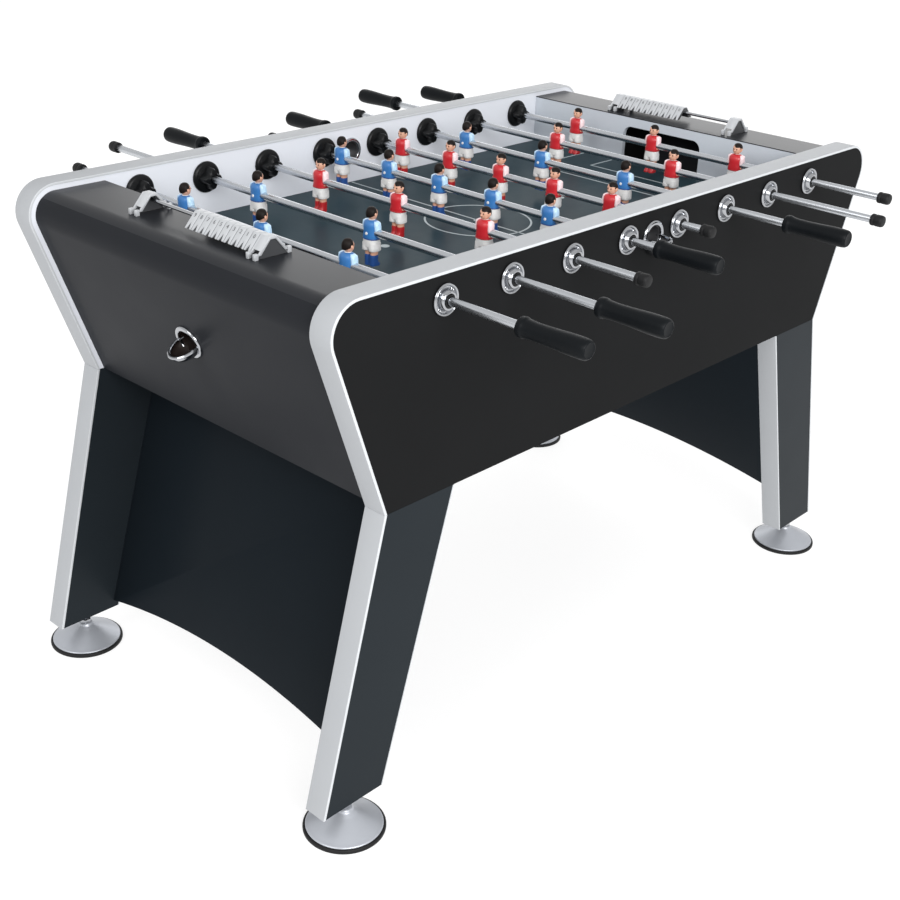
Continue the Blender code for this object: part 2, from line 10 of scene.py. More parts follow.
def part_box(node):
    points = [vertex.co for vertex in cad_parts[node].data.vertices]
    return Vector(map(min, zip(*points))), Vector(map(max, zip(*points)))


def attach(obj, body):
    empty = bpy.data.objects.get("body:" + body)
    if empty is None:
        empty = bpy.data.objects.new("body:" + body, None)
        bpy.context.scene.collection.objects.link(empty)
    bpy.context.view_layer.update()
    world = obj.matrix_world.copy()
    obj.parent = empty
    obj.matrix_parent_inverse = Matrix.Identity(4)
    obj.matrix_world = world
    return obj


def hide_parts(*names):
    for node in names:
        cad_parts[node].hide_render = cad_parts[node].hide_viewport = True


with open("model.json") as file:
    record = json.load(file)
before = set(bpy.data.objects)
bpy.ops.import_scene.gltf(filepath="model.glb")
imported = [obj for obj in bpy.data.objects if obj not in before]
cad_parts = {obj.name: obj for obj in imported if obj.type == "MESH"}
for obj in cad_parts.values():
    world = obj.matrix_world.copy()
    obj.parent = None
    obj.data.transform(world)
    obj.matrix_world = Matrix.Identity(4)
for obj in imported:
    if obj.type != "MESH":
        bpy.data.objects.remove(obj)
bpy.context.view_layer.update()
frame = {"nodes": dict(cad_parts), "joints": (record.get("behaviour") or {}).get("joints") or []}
JOINTS = {joint["name"]: joint for joint in frame["joints"]}

# ---- sizes read from the frame
leg_low, leg_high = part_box("leg_front_left")
panel_low, panel_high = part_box("side_panel_front")
field_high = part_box("playfield")[1]
goal_low, goal_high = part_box("goal_wall_right")
HALF_WIDTH = -leg_low.y
INNER_Y = -leg_high.y
BOARD = HALF_WIDTH - INNER_Y
HEIGHT = panel_high.z
KINK_Z = panel_low.z
LEG_BOTTOM_Z = leg_low.z
LEG_TOP_INNER_X = -leg_high.x
LEG_BOTTOM_OUTER_X = -leg_low.x
FIT_Y = field_high.y
FIELD_Z = field_high.z
GOAL_X, GOAL_WALL_LOW_Z = goal_low.x, goal_low.z
DECK_Z = goal_high.z
ROD_Z = JOINTS["rod_1_spin"]["pos_m"][2]

# ---- sizes that the boxes don't give
KINK_X = 0.589
FLARE = 0.364
LEAN = math.atan(FLARE)
CORNER_R = 0.050
LEG_BOTTOM_INNER_X = 0.585
LEG_PANEL_T = 0.015
ARCH_RISE = 0.036
ARCH_APEX_Z = {"left": 0.107, "right": 0.200}
APRON_INSET, APRON_T = 0.012, 0.015
FLOOR_END_X = 0.430
GOAL_HALF_W, GOAL_TOP_Z, GOAL_CORNER_R, GOAL_WALL_T = 0.094, 0.838, 0.018, 0.009
DECK_SLOPE = 0.80     # faces of an apron whose normal rises more than this have the deck's finish
DECK_SKIN = 0.0016    # the thickness of the deck's laminate, which laps over the goal wall
BOX_HALF_W, BOX_WALL = 0.100, 0.006
BOX_LOW_Z, BOX_HIGH_Z = 0.655, 0.800
BOX_CLEARANCE, RAMP_DROP = 0.001, 0.006
HOOD_NEAR, HOOD_FAR, HOOD_LOW, HOOD_HIGH = 0.0005, 0.060, 0.0015, 0.0040
GAP = 0.0003
TRIM_T, TRIM_PROUD, TRIM_LIP, TRIM_EDGE = 0.0026, 0.0008, 0.0040, 0.0014
INNER_TRIM_T, INNER_TRIM_LIP = 0.0020, 0.0026
TRIM_BITE = 0.0002    # a board reaches this far into its edge band
ENTRY_Z, ENTRY_HOLE_R, ENTRY_SINK, ENTRY_BOWL_DEPTH = 0.822, 0.0195, 0.0031, 1.25
RETURN_Z, RETURN_HOLE_R, RETURN_SINK, RETURN_BOWL_DEPTH = 0.697, 0.0215, 0.0040, 0.8
RETURN_TIP, RETURN_THROAT = 26.0, 0.030
BEZEL_W, BEZEL_PROUD, BEZEL_SUNK = 0.007, 0.0042, 0.001
BOWL_WALL, BOWL_STRETCH, BOWL_RIM_R, THROAT_WALL = 0.0024, 1.28, 0.0030, 0.0011
COUNTER_X = 0.594
COUNTER_HALF_BASE, COUNTER_HALF_RIDGE, COUNTER_RIDGE_Z = 0.033, 0.006, 0.888
COUNTER_RUN, COUNTER_RISE = COUNTER_HALF_BASE - COUNTER_HALF_RIDGE, COUNTER_RIDGE_Z - DECK_Z
BRACKET_OUTER_Y, BRACKET_INNER_Y = 0.150, 0.130
RAIL_Z, RAIL_R = 0.8775, 0.003
TILE_COUNT, TILE_PITCH, TILE_LIFT, TILE_WALL = 10, 0.015, 0.003, 0.0016
TILE_REACH = 0.82     # the part of the CAD tile's slope that a tile covers, as in the photo
NUMBER_SIZE, NUMBER_DROP = 0.0092, 0.0068
ROD_R, ROD_BORE_R = 0.00635, 0.0052
BEARING_HOLE_R, BEARING_BORE_R = 0.0135, 0.0071
FLANGE_R, NUT_R = 0.024, 0.0275
MEN = {3: (-0.193, 0.0, 0.193), 2: (-0.138, 0.138), 5: (-0.250, -0.125, 0.0, 0.125, 0.250)}
ROD_MEN = (3, 2, 3, 5, 5, 3, 2, 3)
ROD_TEAM = ("blue", "blue", "red", "blue", "red", "blue", "red", "red")
MAN_LIFT = 0.007      # the photo shows the men this much higher on their rods than the CAD
ROUND, FINE = 40, 24
MM = 0.001

# ---- the field's markings
LINE_W = 0.0035
CIRCLE_R = 0.095
PENALTY_DEPTH, PENALTY_HALF_W = 0.165, 0.190
SMALL_DEPTH, SMALL_HALF_W = 0.075, 0.115
SPOT_X, SPOT_R = 0.231, 0.008

# ---- lighting
WORLD_STRENGTH = 0.80
SUN_STRENGTH, SUN_ANGLE = 0.8, 28.0
BACK_POWER, FILL_POWER = 30.0, 85.0
FLOOR_GLOW, FLOOR_HALF = 0.74, 40.0

ENDS = (("left", -1), ("right", 1))
SIDES = (("front", -1), ("rear", 1))
RODS = range(1, len(ROD_MEN) + 1)


# ---- materials
def noise(tree, where, scale, detail, stretch):
    mapping = tree.nodes.new("ShaderNodeMapping")
    mapping.inputs["Scale"].default_value = stretch
    tree.links.new(where, mapping.inputs["Vector"])
    made = tree.nodes.new("ShaderNodeTexNoise")
    made.inputs["Scale"].default_value = scale
    made.inputs["Detail"].default_value = detail
    tree.links.new(mapping.outputs["Vector"], made.inputs["Vector"])
    return made.outputs["Fac"]


def material(name, colour, rough, metallic=0.0, specular=0.5, coat=0.0, vary=0.10, patch=14.0,
             rough_vary=0.06, grain=700.0, bump=0.04, stretch=(1.0, 1.0, 1.0)):
    """A Principled finish with faint colour patches, uneven gloss and a fine surface texture."""
    made = bpy.data.materials.new(name)
    made.use_nodes = True
    tree = made.node_tree
    shader = tree.nodes["Principled BSDF"]
    shader.inputs["Metallic"].default_value = metallic
    shader.inputs["Specular IOR Level"].default_value = specular
    shader.inputs["Coat Weight"].default_value = coat
    shader.inputs["Coat Roughness"].default_value = 0.08
    where = tree.nodes.new("ShaderNodeTexCoord").outputs["Object"]
    mix = tree.nodes.new("ShaderNodeMix")
    mix.data_type = "RGBA"
    mix.inputs["A"].default_value = (*[c * (1.0 - vary) for c in colour], 1.0)
    mix.inputs["B"].default_value = (*[min(1.0, c * (1.0 + vary)) for c in colour], 1.0)
    tree.links.new(noise(tree, where, patch, 5.0, stretch), mix.inputs["Factor"])
    tree.links.new(mix.outputs["Result"], shader.inputs["Base Color"])
    gloss = tree.nodes.new("ShaderNodeMapRange")
    gloss.inputs["To Min"].default_value = max(0.02, rough - rough_vary)
    gloss.inputs["To Max"].default_value = min(1.0, rough + rough_vary)
    tree.links.new(noise(tree, where, patch * 2.7, 6.0, stretch), gloss.inputs["Value"])
    tree.links.new(gloss.outputs["Result"], shader.inputs["Roughness"])
    relief = tree.nodes.new("ShaderNodeBump")
    relief.inputs["Strength"].default_value = bump
    relief.inputs["Distance"].default_value = 0.0004
    tree.links.new(noise(tree, where, grain, 3.0, stretch), relief.inputs["Height"])
    tree.links.new(relief.outputs["Normal"], shader.inputs["Normal"])
    return made


BLACK = material("black_laminate", (0.0115, 0.0118, 0.0123), 0.34, specular=0.012, patch=6.0)
APRON = material("apron_laminate", (0.0185, 0.0198, 0.0230), 0.32, specular=0.036, vary=0.08, patch=5.0)
DECK = material("deck_laminate", (0.0165, 0.0180, 0.0215), 0.33, specular=0.17, vary=0.04, patch=3.0,
                rough_vary=0.01, bump=0.003)
SLATE = material("slate_laminate", (0.0155, 0.0200, 0.0240), 0.32, specular=0.06, patch=6.0)
# A darker copy of the slate laminate for the boards between the legs: painted shade under the cabinet.
SHADED_SLATE = material("slate_painted_shade", (0.0080, 0.0112, 0.0145), 0.34, specular=0.03, patch=6.0)
LIGHT = material("light_laminate", (0.80, 0.825, 0.88), 0.42, vary=0.02, patch=9.0)
GOAL_GREY = material("goal_laminate", (0.53, 0.57, 0.62), 0.42, vary=0.02, patch=9.0)
TRIM = material("trim_silver", (0.385, 0.398, 0.415), 0.44, specular=0.12, vary=0.03, patch=20.0, bump=0.06)
# A brighter copy of the trim's silver for the band's side faces: a painted highlight along the band.
TRIM_HIGHLIGHT = material("trim_painted_highlight", (0.56, 0.58, 0.60), 0.32, vary=0.03, patch=20.0, bump=0.05)
FIELD = material("field_surface", (0.028, 0.050, 0.062), 0.34, specular=0.032, vary=0.08, patch=11.0)
LINES = material("line_white", (0.42, 0.48, 0.50), 0.42, vary=0.08, patch=60.0)
PINE = material("pine", (0.52, 0.34, 0.18), 0.65, vary=0.28, patch=26.0, grain=90.0, bump=0.3,
                stretch=(1.0, 0.06, 1.0))
CHROME = material("chrome_plate", (0.43, 0.44, 0.46), 0.08, metallic=1.0, vary=0.04, patch=30.0,
                  rough_vary=0.04, bump=0.01)
ROD_CHROME = material("chrome_rod", (0.54, 0.56, 0.59), 0.26, metallic=1.0, vary=0.08, patch=60.0,
                      rough_vary=0.07, bump=0.03, stretch=(1.0, 0.05, 1.0))
NYLON = material("bearing_black", (0.0050, 0.0054, 0.0060), 0.34, specular=0.2, patch=30.0)
GRIP = material("grip_black", (0.0045, 0.0056, 0.0068), 0.42, specular=0.10, patch=30.0,
                grain=1500.0, bump=0.10)
RUBBER = material("rubber_black", (0.0070, 0.0072, 0.0078), 0.55, specular=0.25, vary=0.12, patch=40.0,
                  grain=1200.0, bump=0.15)
FOOT = material("foot_silver", (0.44, 0.46, 0.50), 0.36, metallic=0.4, vary=0.05, patch=24.0)
TILE = material("tile_silver", (0.50, 0.515, 0.535), 0.36, metallic=0.15, vary=0.04, patch=30.0)
NUMBER = material("number_grey", (0.130, 0.135, 0.140), 0.50, patch=60.0)
# A dark grey that stands for the shade inside the counter's brackets and under its tiles: painted shade.
COUNTER_SHADE = material("counter_painted_shade", (0.048, 0.050, 0.054), 0.45, patch=40.0)
DARK = material("dark_inside", (0.0040, 0.0040, 0.0042), 0.55, specular=0.2)
# Darker finishes for the insides of the cups' bowls and throats: painted shade of their hollows.
ENTRY_SHADE = material("entry_painted_shade", (0.115, 0.115, 0.120), 0.30, metallic=0.6, vary=0.15, patch=60.0)
THROAT = material("return_cup_painted_shade", (0.0150, 0.0095, 0.0078), 0.40, specular=0.4, vary=0.20, patch=60.0)
SKIN = material("skin", (0.66, 0.36, 0.25), 0.38, vary=0.05, patch=90.0)
HAIR = material("hair", (0.0085, 0.0055, 0.0045), 0.50, specular=0.15, vary=0.18, patch=300.0, bump=0.2)
WHITE = material("white_kit", (0.74, 0.73, 0.72), 0.36, vary=0.04, patch=90.0)
KIT, SLEEVE_HIGHLIGHT, SOCK = {}, {}, {}
for team, kit, sleeve, sock in (
    ("blue", (0.035, 0.165, 0.430), (0.48, 0.68, 0.86), (0.018, 0.070, 0.250)),
    ("red", (0.500, 0.014, 0.022), (0.84, 0.64, 0.66), (0.400, 0.012, 0.016)),
):
    KIT[team] = material(f"{team}_kit", kit, 0.36, vary=0.08, patch=90.0, coat=0.1)
    # The sleeve colour, a pale tint of the kit colour, is a painted highlight on the upper arms.
    SLEEVE_HIGHLIGHT[team] = material(f"{team}_sleeve", sleeve, 0.36, vary=0.04, patch=90.0)
    SOCK[team] = material(f"{team}_sock", sock, 0.36, vary=0.08, patch=90.0)


# ---- mesh tools
def skin_rings(shape, rings, wrap=False, finish=0):
    """Skin a list of equal rings of points. A ring of one point is a tip."""
    made = [[shape.verts.new(point) for point in ring] for ring in rings]
    pairs = list(zip(made, made[1:]))
    if wrap:
        pairs.append((made[-1], made[0]))
    for a, b in pairs:
        count = max(len(a), len(b))
        for i in range(count):
            j = (i + 1) % count
            if len(a) == 1:
                corners = (a[0], b[j], b[i])
            elif len(b) == 1:
                corners = (a[i], a[j], b[0])
            else:
                corners = (a[i], a[j], b[j], b[i])
            shape.faces.new(corners).material_index = finish
    if not wrap:
        for ring in (made[0], made[-1]):
            if len(ring) > 2:
                shape.faces.new(ring).material_index = finish


def ring_of(radius, z, place, steps):
    """One ring about local Z. The radius may be a function of the angle."""
    points = []
    for i in range(steps):
        angle = 2 * math.pi * i / steps
        r = radius(angle) if callable(radius) else radius
        points.append(place @ Vector((r * math.cos(angle), r * math.sin(angle), z)))
    return points


def turn(shape, profile, place=Matrix(), steps=ROUND, wrap=False, finish=0):
    """Turn a profile of (radius, height) points about local Z."""
    rings = []
    for radius, z in profile:
        if radius == 0.0:
            rings.append([place @ Vector((0.0, 0.0, z))])
        else:
            rings.append(ring_of(radius, z, place, steps))
    skin_rings(shape, rings, wrap, finish)


def rounded(points, radius, steps=3, closed=False):
    """Replace each corner of a 2D line by a short curve that starts that far from it."""
    out = []
    for i, point in enumerate(points):
        if not closed and i in (0, len(points) - 1):
            out.append(tuple(point))
            continue
        before = Vector(points[i - 1])
        corner = Vector(point)
        after = Vector(points[(i + 1) % len(points)])
        cut = min(radius, (before - corner).length * 0.45, (after - corner).length * 0.45)
        start = corner + (before - corner).normalized() * cut
        end = corner + (after - corner).normalized() * cut
        for k in range(steps + 1):
            t = k / steps
            out.append(tuple(start * (1 - t) ** 2 + corner * 2 * t * (1 - t) + end * t * t))
    return out


def prism(shape, outline, low, high):
    """Extrude a closed outline of (x, z) points along Y."""
    skin_rings(shape, [[Vector((x, y, z)) for x, z in outline] for y in (low, high)])


def block(shape, low, high):
    outline = [(low[0], low[2]), (high[0], low[2]), (high[0], high[2]), (low[0], high[2])]
    prism(shape, outline, low[1], high[1])


def soften(shape, width):
    """Bevel the edges that are sharper than 30 degrees."""
    bmesh.ops.recalc_face_normals(shape, faces=shape.faces)
    limit = math.radians(30)
    edges = [e for e in shape.edges if len(e.link_faces) == 2 and e.calc_face_angle(0.0) > limit]
    bmesh.ops.bevel(shape, geom=edges, offset=width, segments=2, profile=0.5, affect="EDGES",
                    clamp_overlap=True)


def in_scene(name, data):
    """Make an object of some data and link it to the scene."""
    made = bpy.data.objects.new(name, data)
    bpy.context.scene.collection.objects.link(made)
    return made


def evaluated_mesh(source):
    """The mesh that an object's curve or modifiers come to."""
    bpy.context.view_layer.update()
    return bpy.data.meshes.new_from_object(source.evaluated_get(bpy.context.evaluated_depsgraph_get()))


def piece_from(name, shape, *finishes, angle=35.0):
    """Make an object of a bmesh, smooth but for its sharp edges."""
    bmesh.ops.recalc_face_normals(shape, faces=shape.faces)
    mesh = bpy.data.meshes.new(name)
    shape.to_mesh(mesh)
    shape.free()
    for finish in finishes:
        mesh.materials.append(finish)
    mesh.shade_smooth()
    mesh.set_sharp_from_angle(angle=math.radians(angle))
    return in_scene(name, mesh)


def seat(piece, body, slot, *nodes):
    """Tie a piece to its body and hide the frame's nodes that it stands for. The slot is not used."""
    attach(piece, body)
    if nodes:
        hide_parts(*nodes)


def plate(name, loops, low, high, across="Y"):
    """A flat board with holes, as a bmesh: the first loop is its outline."""
    curve = bpy.data.curves.new(name, "CURVE")
    curve.dimensions = "2D"
    curve.fill_mode = "BOTH"
    curve.extrude = (high - low) / 2
    for loop in loops:
        spline = curve.splines.new("POLY")
        spline.points.add(len(loop) - 1)
        for point, (u, v) in zip(spline.points, loop):
            point.co = (u, v, 0.0, 1.0)
        spline.use_cyclic_u = True
    flat = in_scene(name, curve)
    middle = (low + high) / 2
    flat.rotation_euler = (math.radians(90), 0.0, 0.0 if across == "Y" else math.radians(90))
    flat.location = (0.0, middle, 0.0) if across == "Y" else (middle, 0.0, 0.0)
    mesh = evaluated_mesh(flat)
    mesh.transform(flat.matrix_world)
    bpy.data.objects.remove(flat, do_unlink=True)
    shape = bmesh.new()
    shape.from_mesh(mesh)
    bpy.data.meshes.remove(mesh)
    bmesh.ops.remove_doubles(shape, verts=shape.verts, dist=0.00001)
    bmesh.ops.recalc_face_normals(shape, faces=shape.faces)
    for face in shape.faces:
        face.material_index = 0
    return shape


def cut_away(piece, cutter):
    """Cut one object out of another and drop the cutter."""
    boolean = piece.modifiers.new("cut", "BOOLEAN")
    boolean.operation = "DIFFERENCE"
    boolean.object = cutter
    mesh = evaluated_mesh(piece)
    piece.modifiers.clear()
    piece.data = mesh
    bpy.data.objects.remove(cutter, do_unlink=True)


def circle(u, v, radius, steps=FINE):
    return [
        (u + radius * math.cos(2 * math.pi * i / steps), v + radius * math.sin(2 * math.pi * i / steps))
        for i in range(steps)
    ]


def mirror_x(points, sign):
    return [(sign * x, z) for x, z in points]


def along_y(x, y, z, sign):
    """A frame at a point whose local Z looks along +Y or -Y."""
    return Matrix.Translation((x, y, z)) @ Matrix.Rotation(math.radians(-90 * sign), 4, "X")


# ---- the cabinet's outline
CORNER_Z = HEIGHT - CORNER_R
CORNER_X = KINK_X + FLARE * (CORNER_Z - KINK_Z) - CORNER_R / math.cos(LEAN)


def flare_x(z, inset):
    """X of the leaning end at height z, moved in by inset measured square to the end."""
    return KINK_X + FLARE * (z - KINK_Z) - inset / math.cos(LEAN)


def corner_path(inset, steps=14):
    """The right end's rounded corner, from the lean to the level top."""
    points = []
    for i in range(steps + 1):
        angle = -LEAN + (math.pi / 2 + LEAN) * i / steps
        reach = CORNER_R - inset
        points.append((CORNER_X + reach * math.cos(angle), CORNER_Z + reach * math.sin(angle)))
    return points


def cabinet_outline(inset):
    """The side panel's outline moved in by inset, from the right kink over the top to the left kink."""
    right = [(flare_x(KINK_Z, inset), KINK_Z)] + corner_path(inset)
    return right + mirror_x(right[::-1], -1)


def band_profile(thickness, side, lip=TRIM_LIP):
    """A U-shaped edge band over a board, as (y, depth below the outline) points."""
    outer, inner = side * (HALF_WIDTH + TRIM_PROUD), side * (INNER_Y - TRIM_PROUD)
    face_out, face_in = side * HALF_WIDTH, side * INNER_Y
    over = [(outer, lip), (outer, 0.0), (inner, 0.0), (inner, lip)]
    under = [(face_in, lip), (face_in, thickness), (face_out, thickness), (face_out, lip)]
    return rounded(over, TRIM_EDGE, 3) + under


def sweep_band(name, rails, profile):
    """Skin a band along an outline. rails(depth) gives the path moved in by that depth."""
    paths = {depth: rails(depth) for _, depth in profile}
    length = len(next(iter(paths.values())))
    rings = []
    for i in range(length):
        rings.append([Vector((paths[depth][i][0], y, paths[depth][i][1])) for y, depth in profile])
    shape = bmesh.new()
    skin_rings(shape, rings)
    bmesh.ops.recalc_face_normals(shape, faces=shape.faces)
    for face in shape.faces:
        # Faces that look along Y, the band's sides, take the brighter finish: painted highlight.
        face.material_index = 1 if abs(face.normal.y) > 0.3 else 0
    return piece_from(name, shape, TRIM, TRIM_HIGHLIGHT, angle=32.0)


def line_inset(top, bottom, depth, sign):
    """A straight edge between two (x, z) points, moved in along X by the depth measured square to it."""
    length = math.hypot(top[0] - bottom[0], top[1] - bottom[1])
    shift = sign * depth * length / (top[1] - bottom[1])
    return [(bottom[0] + shift, bottom[1]), (top[0] + shift, top[1])]


# ---- cabinet pieces
def rod_x(number):
    return JOINTS[f"rod_{number}_spin"]["pos_m"][0]


def make_side_panel(label, side):
    """A side board with its bearing holes, its edge band and its entry cup."""
    outline = cabinet_outline(TRIM_T - TRIM_BITE)
    holes = [circle(rod_x(number), ROD_Z, BEARING_HOLE_R) for number in RODS]
    holes.append(circle(0.0, ENTRY_Z, ENTRY_HOLE_R, ROUND))
    low, high = sorted((side * HALF_WIDTH, side * INNER_Y))
    shape = plate("board", [outline] + holes, low, high)
    for face in shape.faces:
        face.material_index = 1 if face.normal.y * side < -0.5 else 0
    board = piece_from(f"side_board_{label}", shape, BLACK, LIGHT)
    seat(board, "cabinet", "black_laminate", f"side_panel_{label}")
    profile = band_profile(TRIM_T, side)
    seat(sweep_band(f"side_trim_{label}", cabinet_outline, profile), "cabinet", "trim_silver")
    make_entry(label, side)


def ring_profile(inner, outer, proud, sunk):
    corners = [(outer, -sunk), (outer, proud * 0.5), (outer - 0.0015, proud), (inner, proud), (inner, -sunk)]
    return rounded(corners, 0.0016, 3, closed=True)


def bowl_shell(shape, radius, wall, stretch, place, depth):
    """A little over half a bowl, open at the top, that stands out along local X.

    It is a closed shell with a rolled rim, with the second finish inside and the first one elsewhere.
    """
    around, down = 28, 12
    spread = math.radians(24)

    def point(r, i, j):
        turn_angle = -spread + (math.pi + 2 * spread) * i / around
        dip = math.pi / 2 * j / down
        flat = r * math.cos(dip)
        drop = -depth * r * math.sin(dip)
        return place @ Vector((stretch * flat * math.sin(turn_angle), flat * math.cos(turn_angle), drop))

    def face(*corners, finish=0):
        shape.faces.new(corners).material_index = finish

    grids = []
    for r in (radius, radius + wall):
        grids.append([[shape.verts.new(point(r, i, j)) for j in range(down)] for i in range(around + 1)])
        grids[-1].append(shape.verts.new(place @ Vector((0.0, 0.0, -depth * r))))
    inner, outer = grids
    for grid, finish in ((inner, 1), (outer, 0)):
        for i in range(around):
            for j in range(down - 1):
                face(grid[i][j], grid[i + 1][j], grid[i + 1][j + 1], grid[i][j + 1], finish=finish)
            face(grid[i][down - 1], grid[i + 1][down - 1], grid[-1], finish=finish)
    for i in range(around):
        face(inner[i][0], inner[i + 1][0], outer[i + 1][0], outer[i][0])
    for i in (0, around):
        for j in range(down - 1):
            face(inner[i][j], outer[i][j], outer[i][j + 1], inner[i][j + 1])
        face(inner[i][down - 1], outer[i][down - 1], outer[-1], inner[-1])
    rim = []
    for i in range(around + 1):
        turn_angle = -spread + (math.pi + 2 * spread) * i / around
        middle = radius + wall / 2
        centre = Vector((stretch * middle * math.sin(turn_angle), middle * math.cos(turn_angle), 0.0))
        outward = Vector((math.sin(turn_angle), math.cos(turn_angle), 0.0))
        ring = []
        for k in range(10):
            a = 2 * math.pi * k / 10
            aside = outward * math.cos(a) + Vector((0, 0, 1)) * math.sin(a)
            ring.append(place @ (centre + BOWL_RIM_R * aside))
        rim.append(ring)
    skin_rings(shape, rim)


def make_cup(name, hole_r, lean, sink, place, throat_depth, inside_shade, bowl_depth, tip=0.0):
    """Bezel, bowl and throat of a ball cup whose wall looks along local +X; the inside of the bowl and the
    throat take the second finish, a darker one that is painted shade.
    """
    shape = bmesh.new()
    tilt = Matrix.Rotation(math.radians(90) + lean, 4, "Y")
    bezel = ring_profile(hole_r - 0.0008, hole_r + BEZEL_W, BEZEL_PROUD, BEZEL_SUNK)
    turn(shape, bezel, place @ tilt, wrap=True)
    lean_out = Matrix.Rotation(math.radians(tip), 4, "Y")
    bowl_place = place @ Matrix.Translation((hole_r * 0.30, 0.0, -sink)) @ lean_out
    bowl_shell(shape, hole_r + 0.0005, BOWL_WALL, BOWL_STRETCH, bowl_place, bowl_depth)
    outer = hole_r - 0.0009
    inner = outer - THROAT_WALL
    throat = [(outer, 0.0), (outer, -throat_depth), (inner, -throat_depth), (inner, 0.0)]
    turn(shape, throat, place @ tilt, wrap=True, finish=1)
    return piece_from(name, shape, CHROME, inside_shade)


def make_entry(label, side):
    """The cup outside a side panel, and the ring round its hole on the inside."""
    outward = Matrix.Rotation(math.radians(90 * side), 4, "Z")
    wall = Matrix.Translation((0.0, side * HALF_WIDTH, ENTRY_Z)) @ outward
    cup = make_cup(f"entry_cup_{label}", ENTRY_HOLE_R, 0.0, ENTRY_SINK, wall, BOARD, ENTRY_SHADE,
                   ENTRY_BOWL_DEPTH)
    seat(cup, "cabinet", "chrome_plate")
    shape = bmesh.new()
    profile = ring_profile(ENTRY_HOLE_R - 0.001, ENTRY_HOLE_R + 0.006, 0.003, 0.001)
    turn(shape, profile, along_y(0.0, side * INNER_Y, ENTRY_Z, -side), wrap=True)
    seat(piece_from(f"entry_ring_{label}", shape, CHROME), "cabinet", "chrome_plate")


def make_leg(front, side, end, sign):
    """A raked board with a silver band on its outer and its inner edge."""
    name = f"{front}_{end}"
    top = KINK_Z - GAP
    outer_top, outer_low = (KINK_X, top), (LEG_BOTTOM_OUTER_X, LEG_BOTTOM_Z)
    inner_top, inner_low = (LEG_TOP_INNER_X, top), (LEG_BOTTOM_INNER_X, LEG_BOTTOM_Z)
    outer = line_inset(outer_top, outer_low, TRIM_T - TRIM_BITE, -1)
    inner = line_inset(inner_top, inner_low, INNER_TRIM_T - TRIM_BITE, 1)
    low_y, high_y = sorted((side * HALF_WIDTH, side * INNER_Y))
    shape = bmesh.new()
    prism(shape, mirror_x([inner[0], outer[0], outer[1], inner[1]], sign), low_y, high_y)
    board = piece_from(f"leg_board_{name}", shape, SLATE)
    seat(board, "cabinet", "slate_laminate", f"leg_{name}")

    def outer_rail(depth):
        return mirror_x(line_inset(outer_top, outer_low, depth, -1), sign)

    def inner_rail(depth):
        return mirror_x(line_inset(inner_top, inner_low, depth, 1), sign)

    wide = band_profile(TRIM_T, side)
    narrow = band_profile(INNER_TRIM_T, side, INNER_TRIM_LIP)
    seat(sweep_band(f"leg_trim_{name}", outer_rail, wide), "cabinet", "trim_silver")
    seat(sweep_band(f"leg_inner_trim_{name}", inner_rail, narrow), "cabinet", "trim_silver")


def make_leg_panel(end, sign):
    """The leaning board between two legs, with an arched lower edge."""
    slope = (LEG_BOTTOM_INNER_X - LEG_TOP_INNER_X) / (KINK_Z - LEG_BOTTOM_Z)
    top_z = KINK_Z - GAP
    apex = ARCH_APEX_Z[end]
    radius = (INNER_Y ** 2 + ARCH_RISE ** 2) / (2 * ARCH_RISE)
    reach = math.asin(FIT_Y / radius)
    steps = 48
    outline = [(FIT_Y, top_z), (-FIT_Y, top_z)]
    for i in range(steps + 1):
        angle = -reach + 2 * reach * i / steps
        outline.append((radius * math.sin(angle), apex - radius + radius * math.cos(angle)))
    rings = []
    for depth in (0.0, LEG_PANEL_T):
        ring = []
        for y, z in outline:
            x = LEG_TOP_INNER_X + 0.0004 + slope * (top_z - z) + depth
            ring.append(Vector((sign * x, y, z)))
        rings.append(ring)
    shape = bmesh.new()
    skin_rings(shape, rings)
    soften(shape, 0.0008)
    # The board takes the darker copy of the slate: painted shade.
    panel = piece_from(f"end_panel_{end}", shape, SHADED_SLATE)
    seat(panel, "cabinet", "slate_laminate", f"leg_panel_{end}")


def make_apron(end, sign):
    """The leaning end board with its rounded deck and bottom board, and the return cup in its hole."""
    inner = APRON_INSET + APRON_T
    deck_end = GOAL_X + GOAL_WALL_T + GAP
    section = [(deck_end, DECK_Z - APRON_T), (deck_end, DECK_Z - DECK_SKIN)]
    section += [(GOAL_X - GAP, DECK_Z - DECK_SKIN), (GOAL_X - GAP, DECK_Z)]
    section += corner_path(APRON_INSET, 20)[::-1]
    section += [(flare_x(KINK_Z, APRON_INSET), KINK_Z), (FLOOR_END_X, KINK_Z)]
    section += [(FLOOR_END_X, KINK_Z + APRON_T), (flare_x(KINK_Z + APRON_T, inner), KINK_Z + APRON_T)]
    section += corner_path(inner, 20)
    shape = bmesh.new()
    prism(shape, mirror_x(section, sign), -FIT_Y, FIT_Y)
    apron = piece_from(f"apron_{end}", shape, APRON, DECK, angle=25.0)
    for face in apron.data.polygons:
        if face.normal.z > DECK_SLOPE:
            face.material_index = 1
    face_x = flare_x(RETURN_Z, APRON_INSET)
    outward = 0.0 if sign > 0 else math.pi
    wall = Matrix.Translation((sign * face_x, 0.0, RETURN_Z)) @ Matrix.Rotation(outward, 4, "Z")
    cutter = bmesh.new()
    hole = [(0.0, 0.04), (RETURN_HOLE_R, 0.04), (RETURN_HOLE_R, -0.04), (0.0, -0.04)]
    turn(cutter, hole, wall @ Matrix.Rotation(math.radians(90) + LEAN, 4, "Y"))
    cut_away(apron, piece_from("cutter", cutter, DARK))
    apron.data.set_sharp_from_angle(angle=math.radians(25))
    seat(apron, "cabinet", "black_laminate", f"end_apron_{end}")
    cup = make_cup(f"return_cup_{end}", RETURN_HOLE_R, LEAN, RETURN_SINK, wall, RETURN_THROAT, THROAT,
                   RETURN_BOWL_DEPTH, RETURN_TIP)
    seat(cup, "cabinet", "chrome_plate")


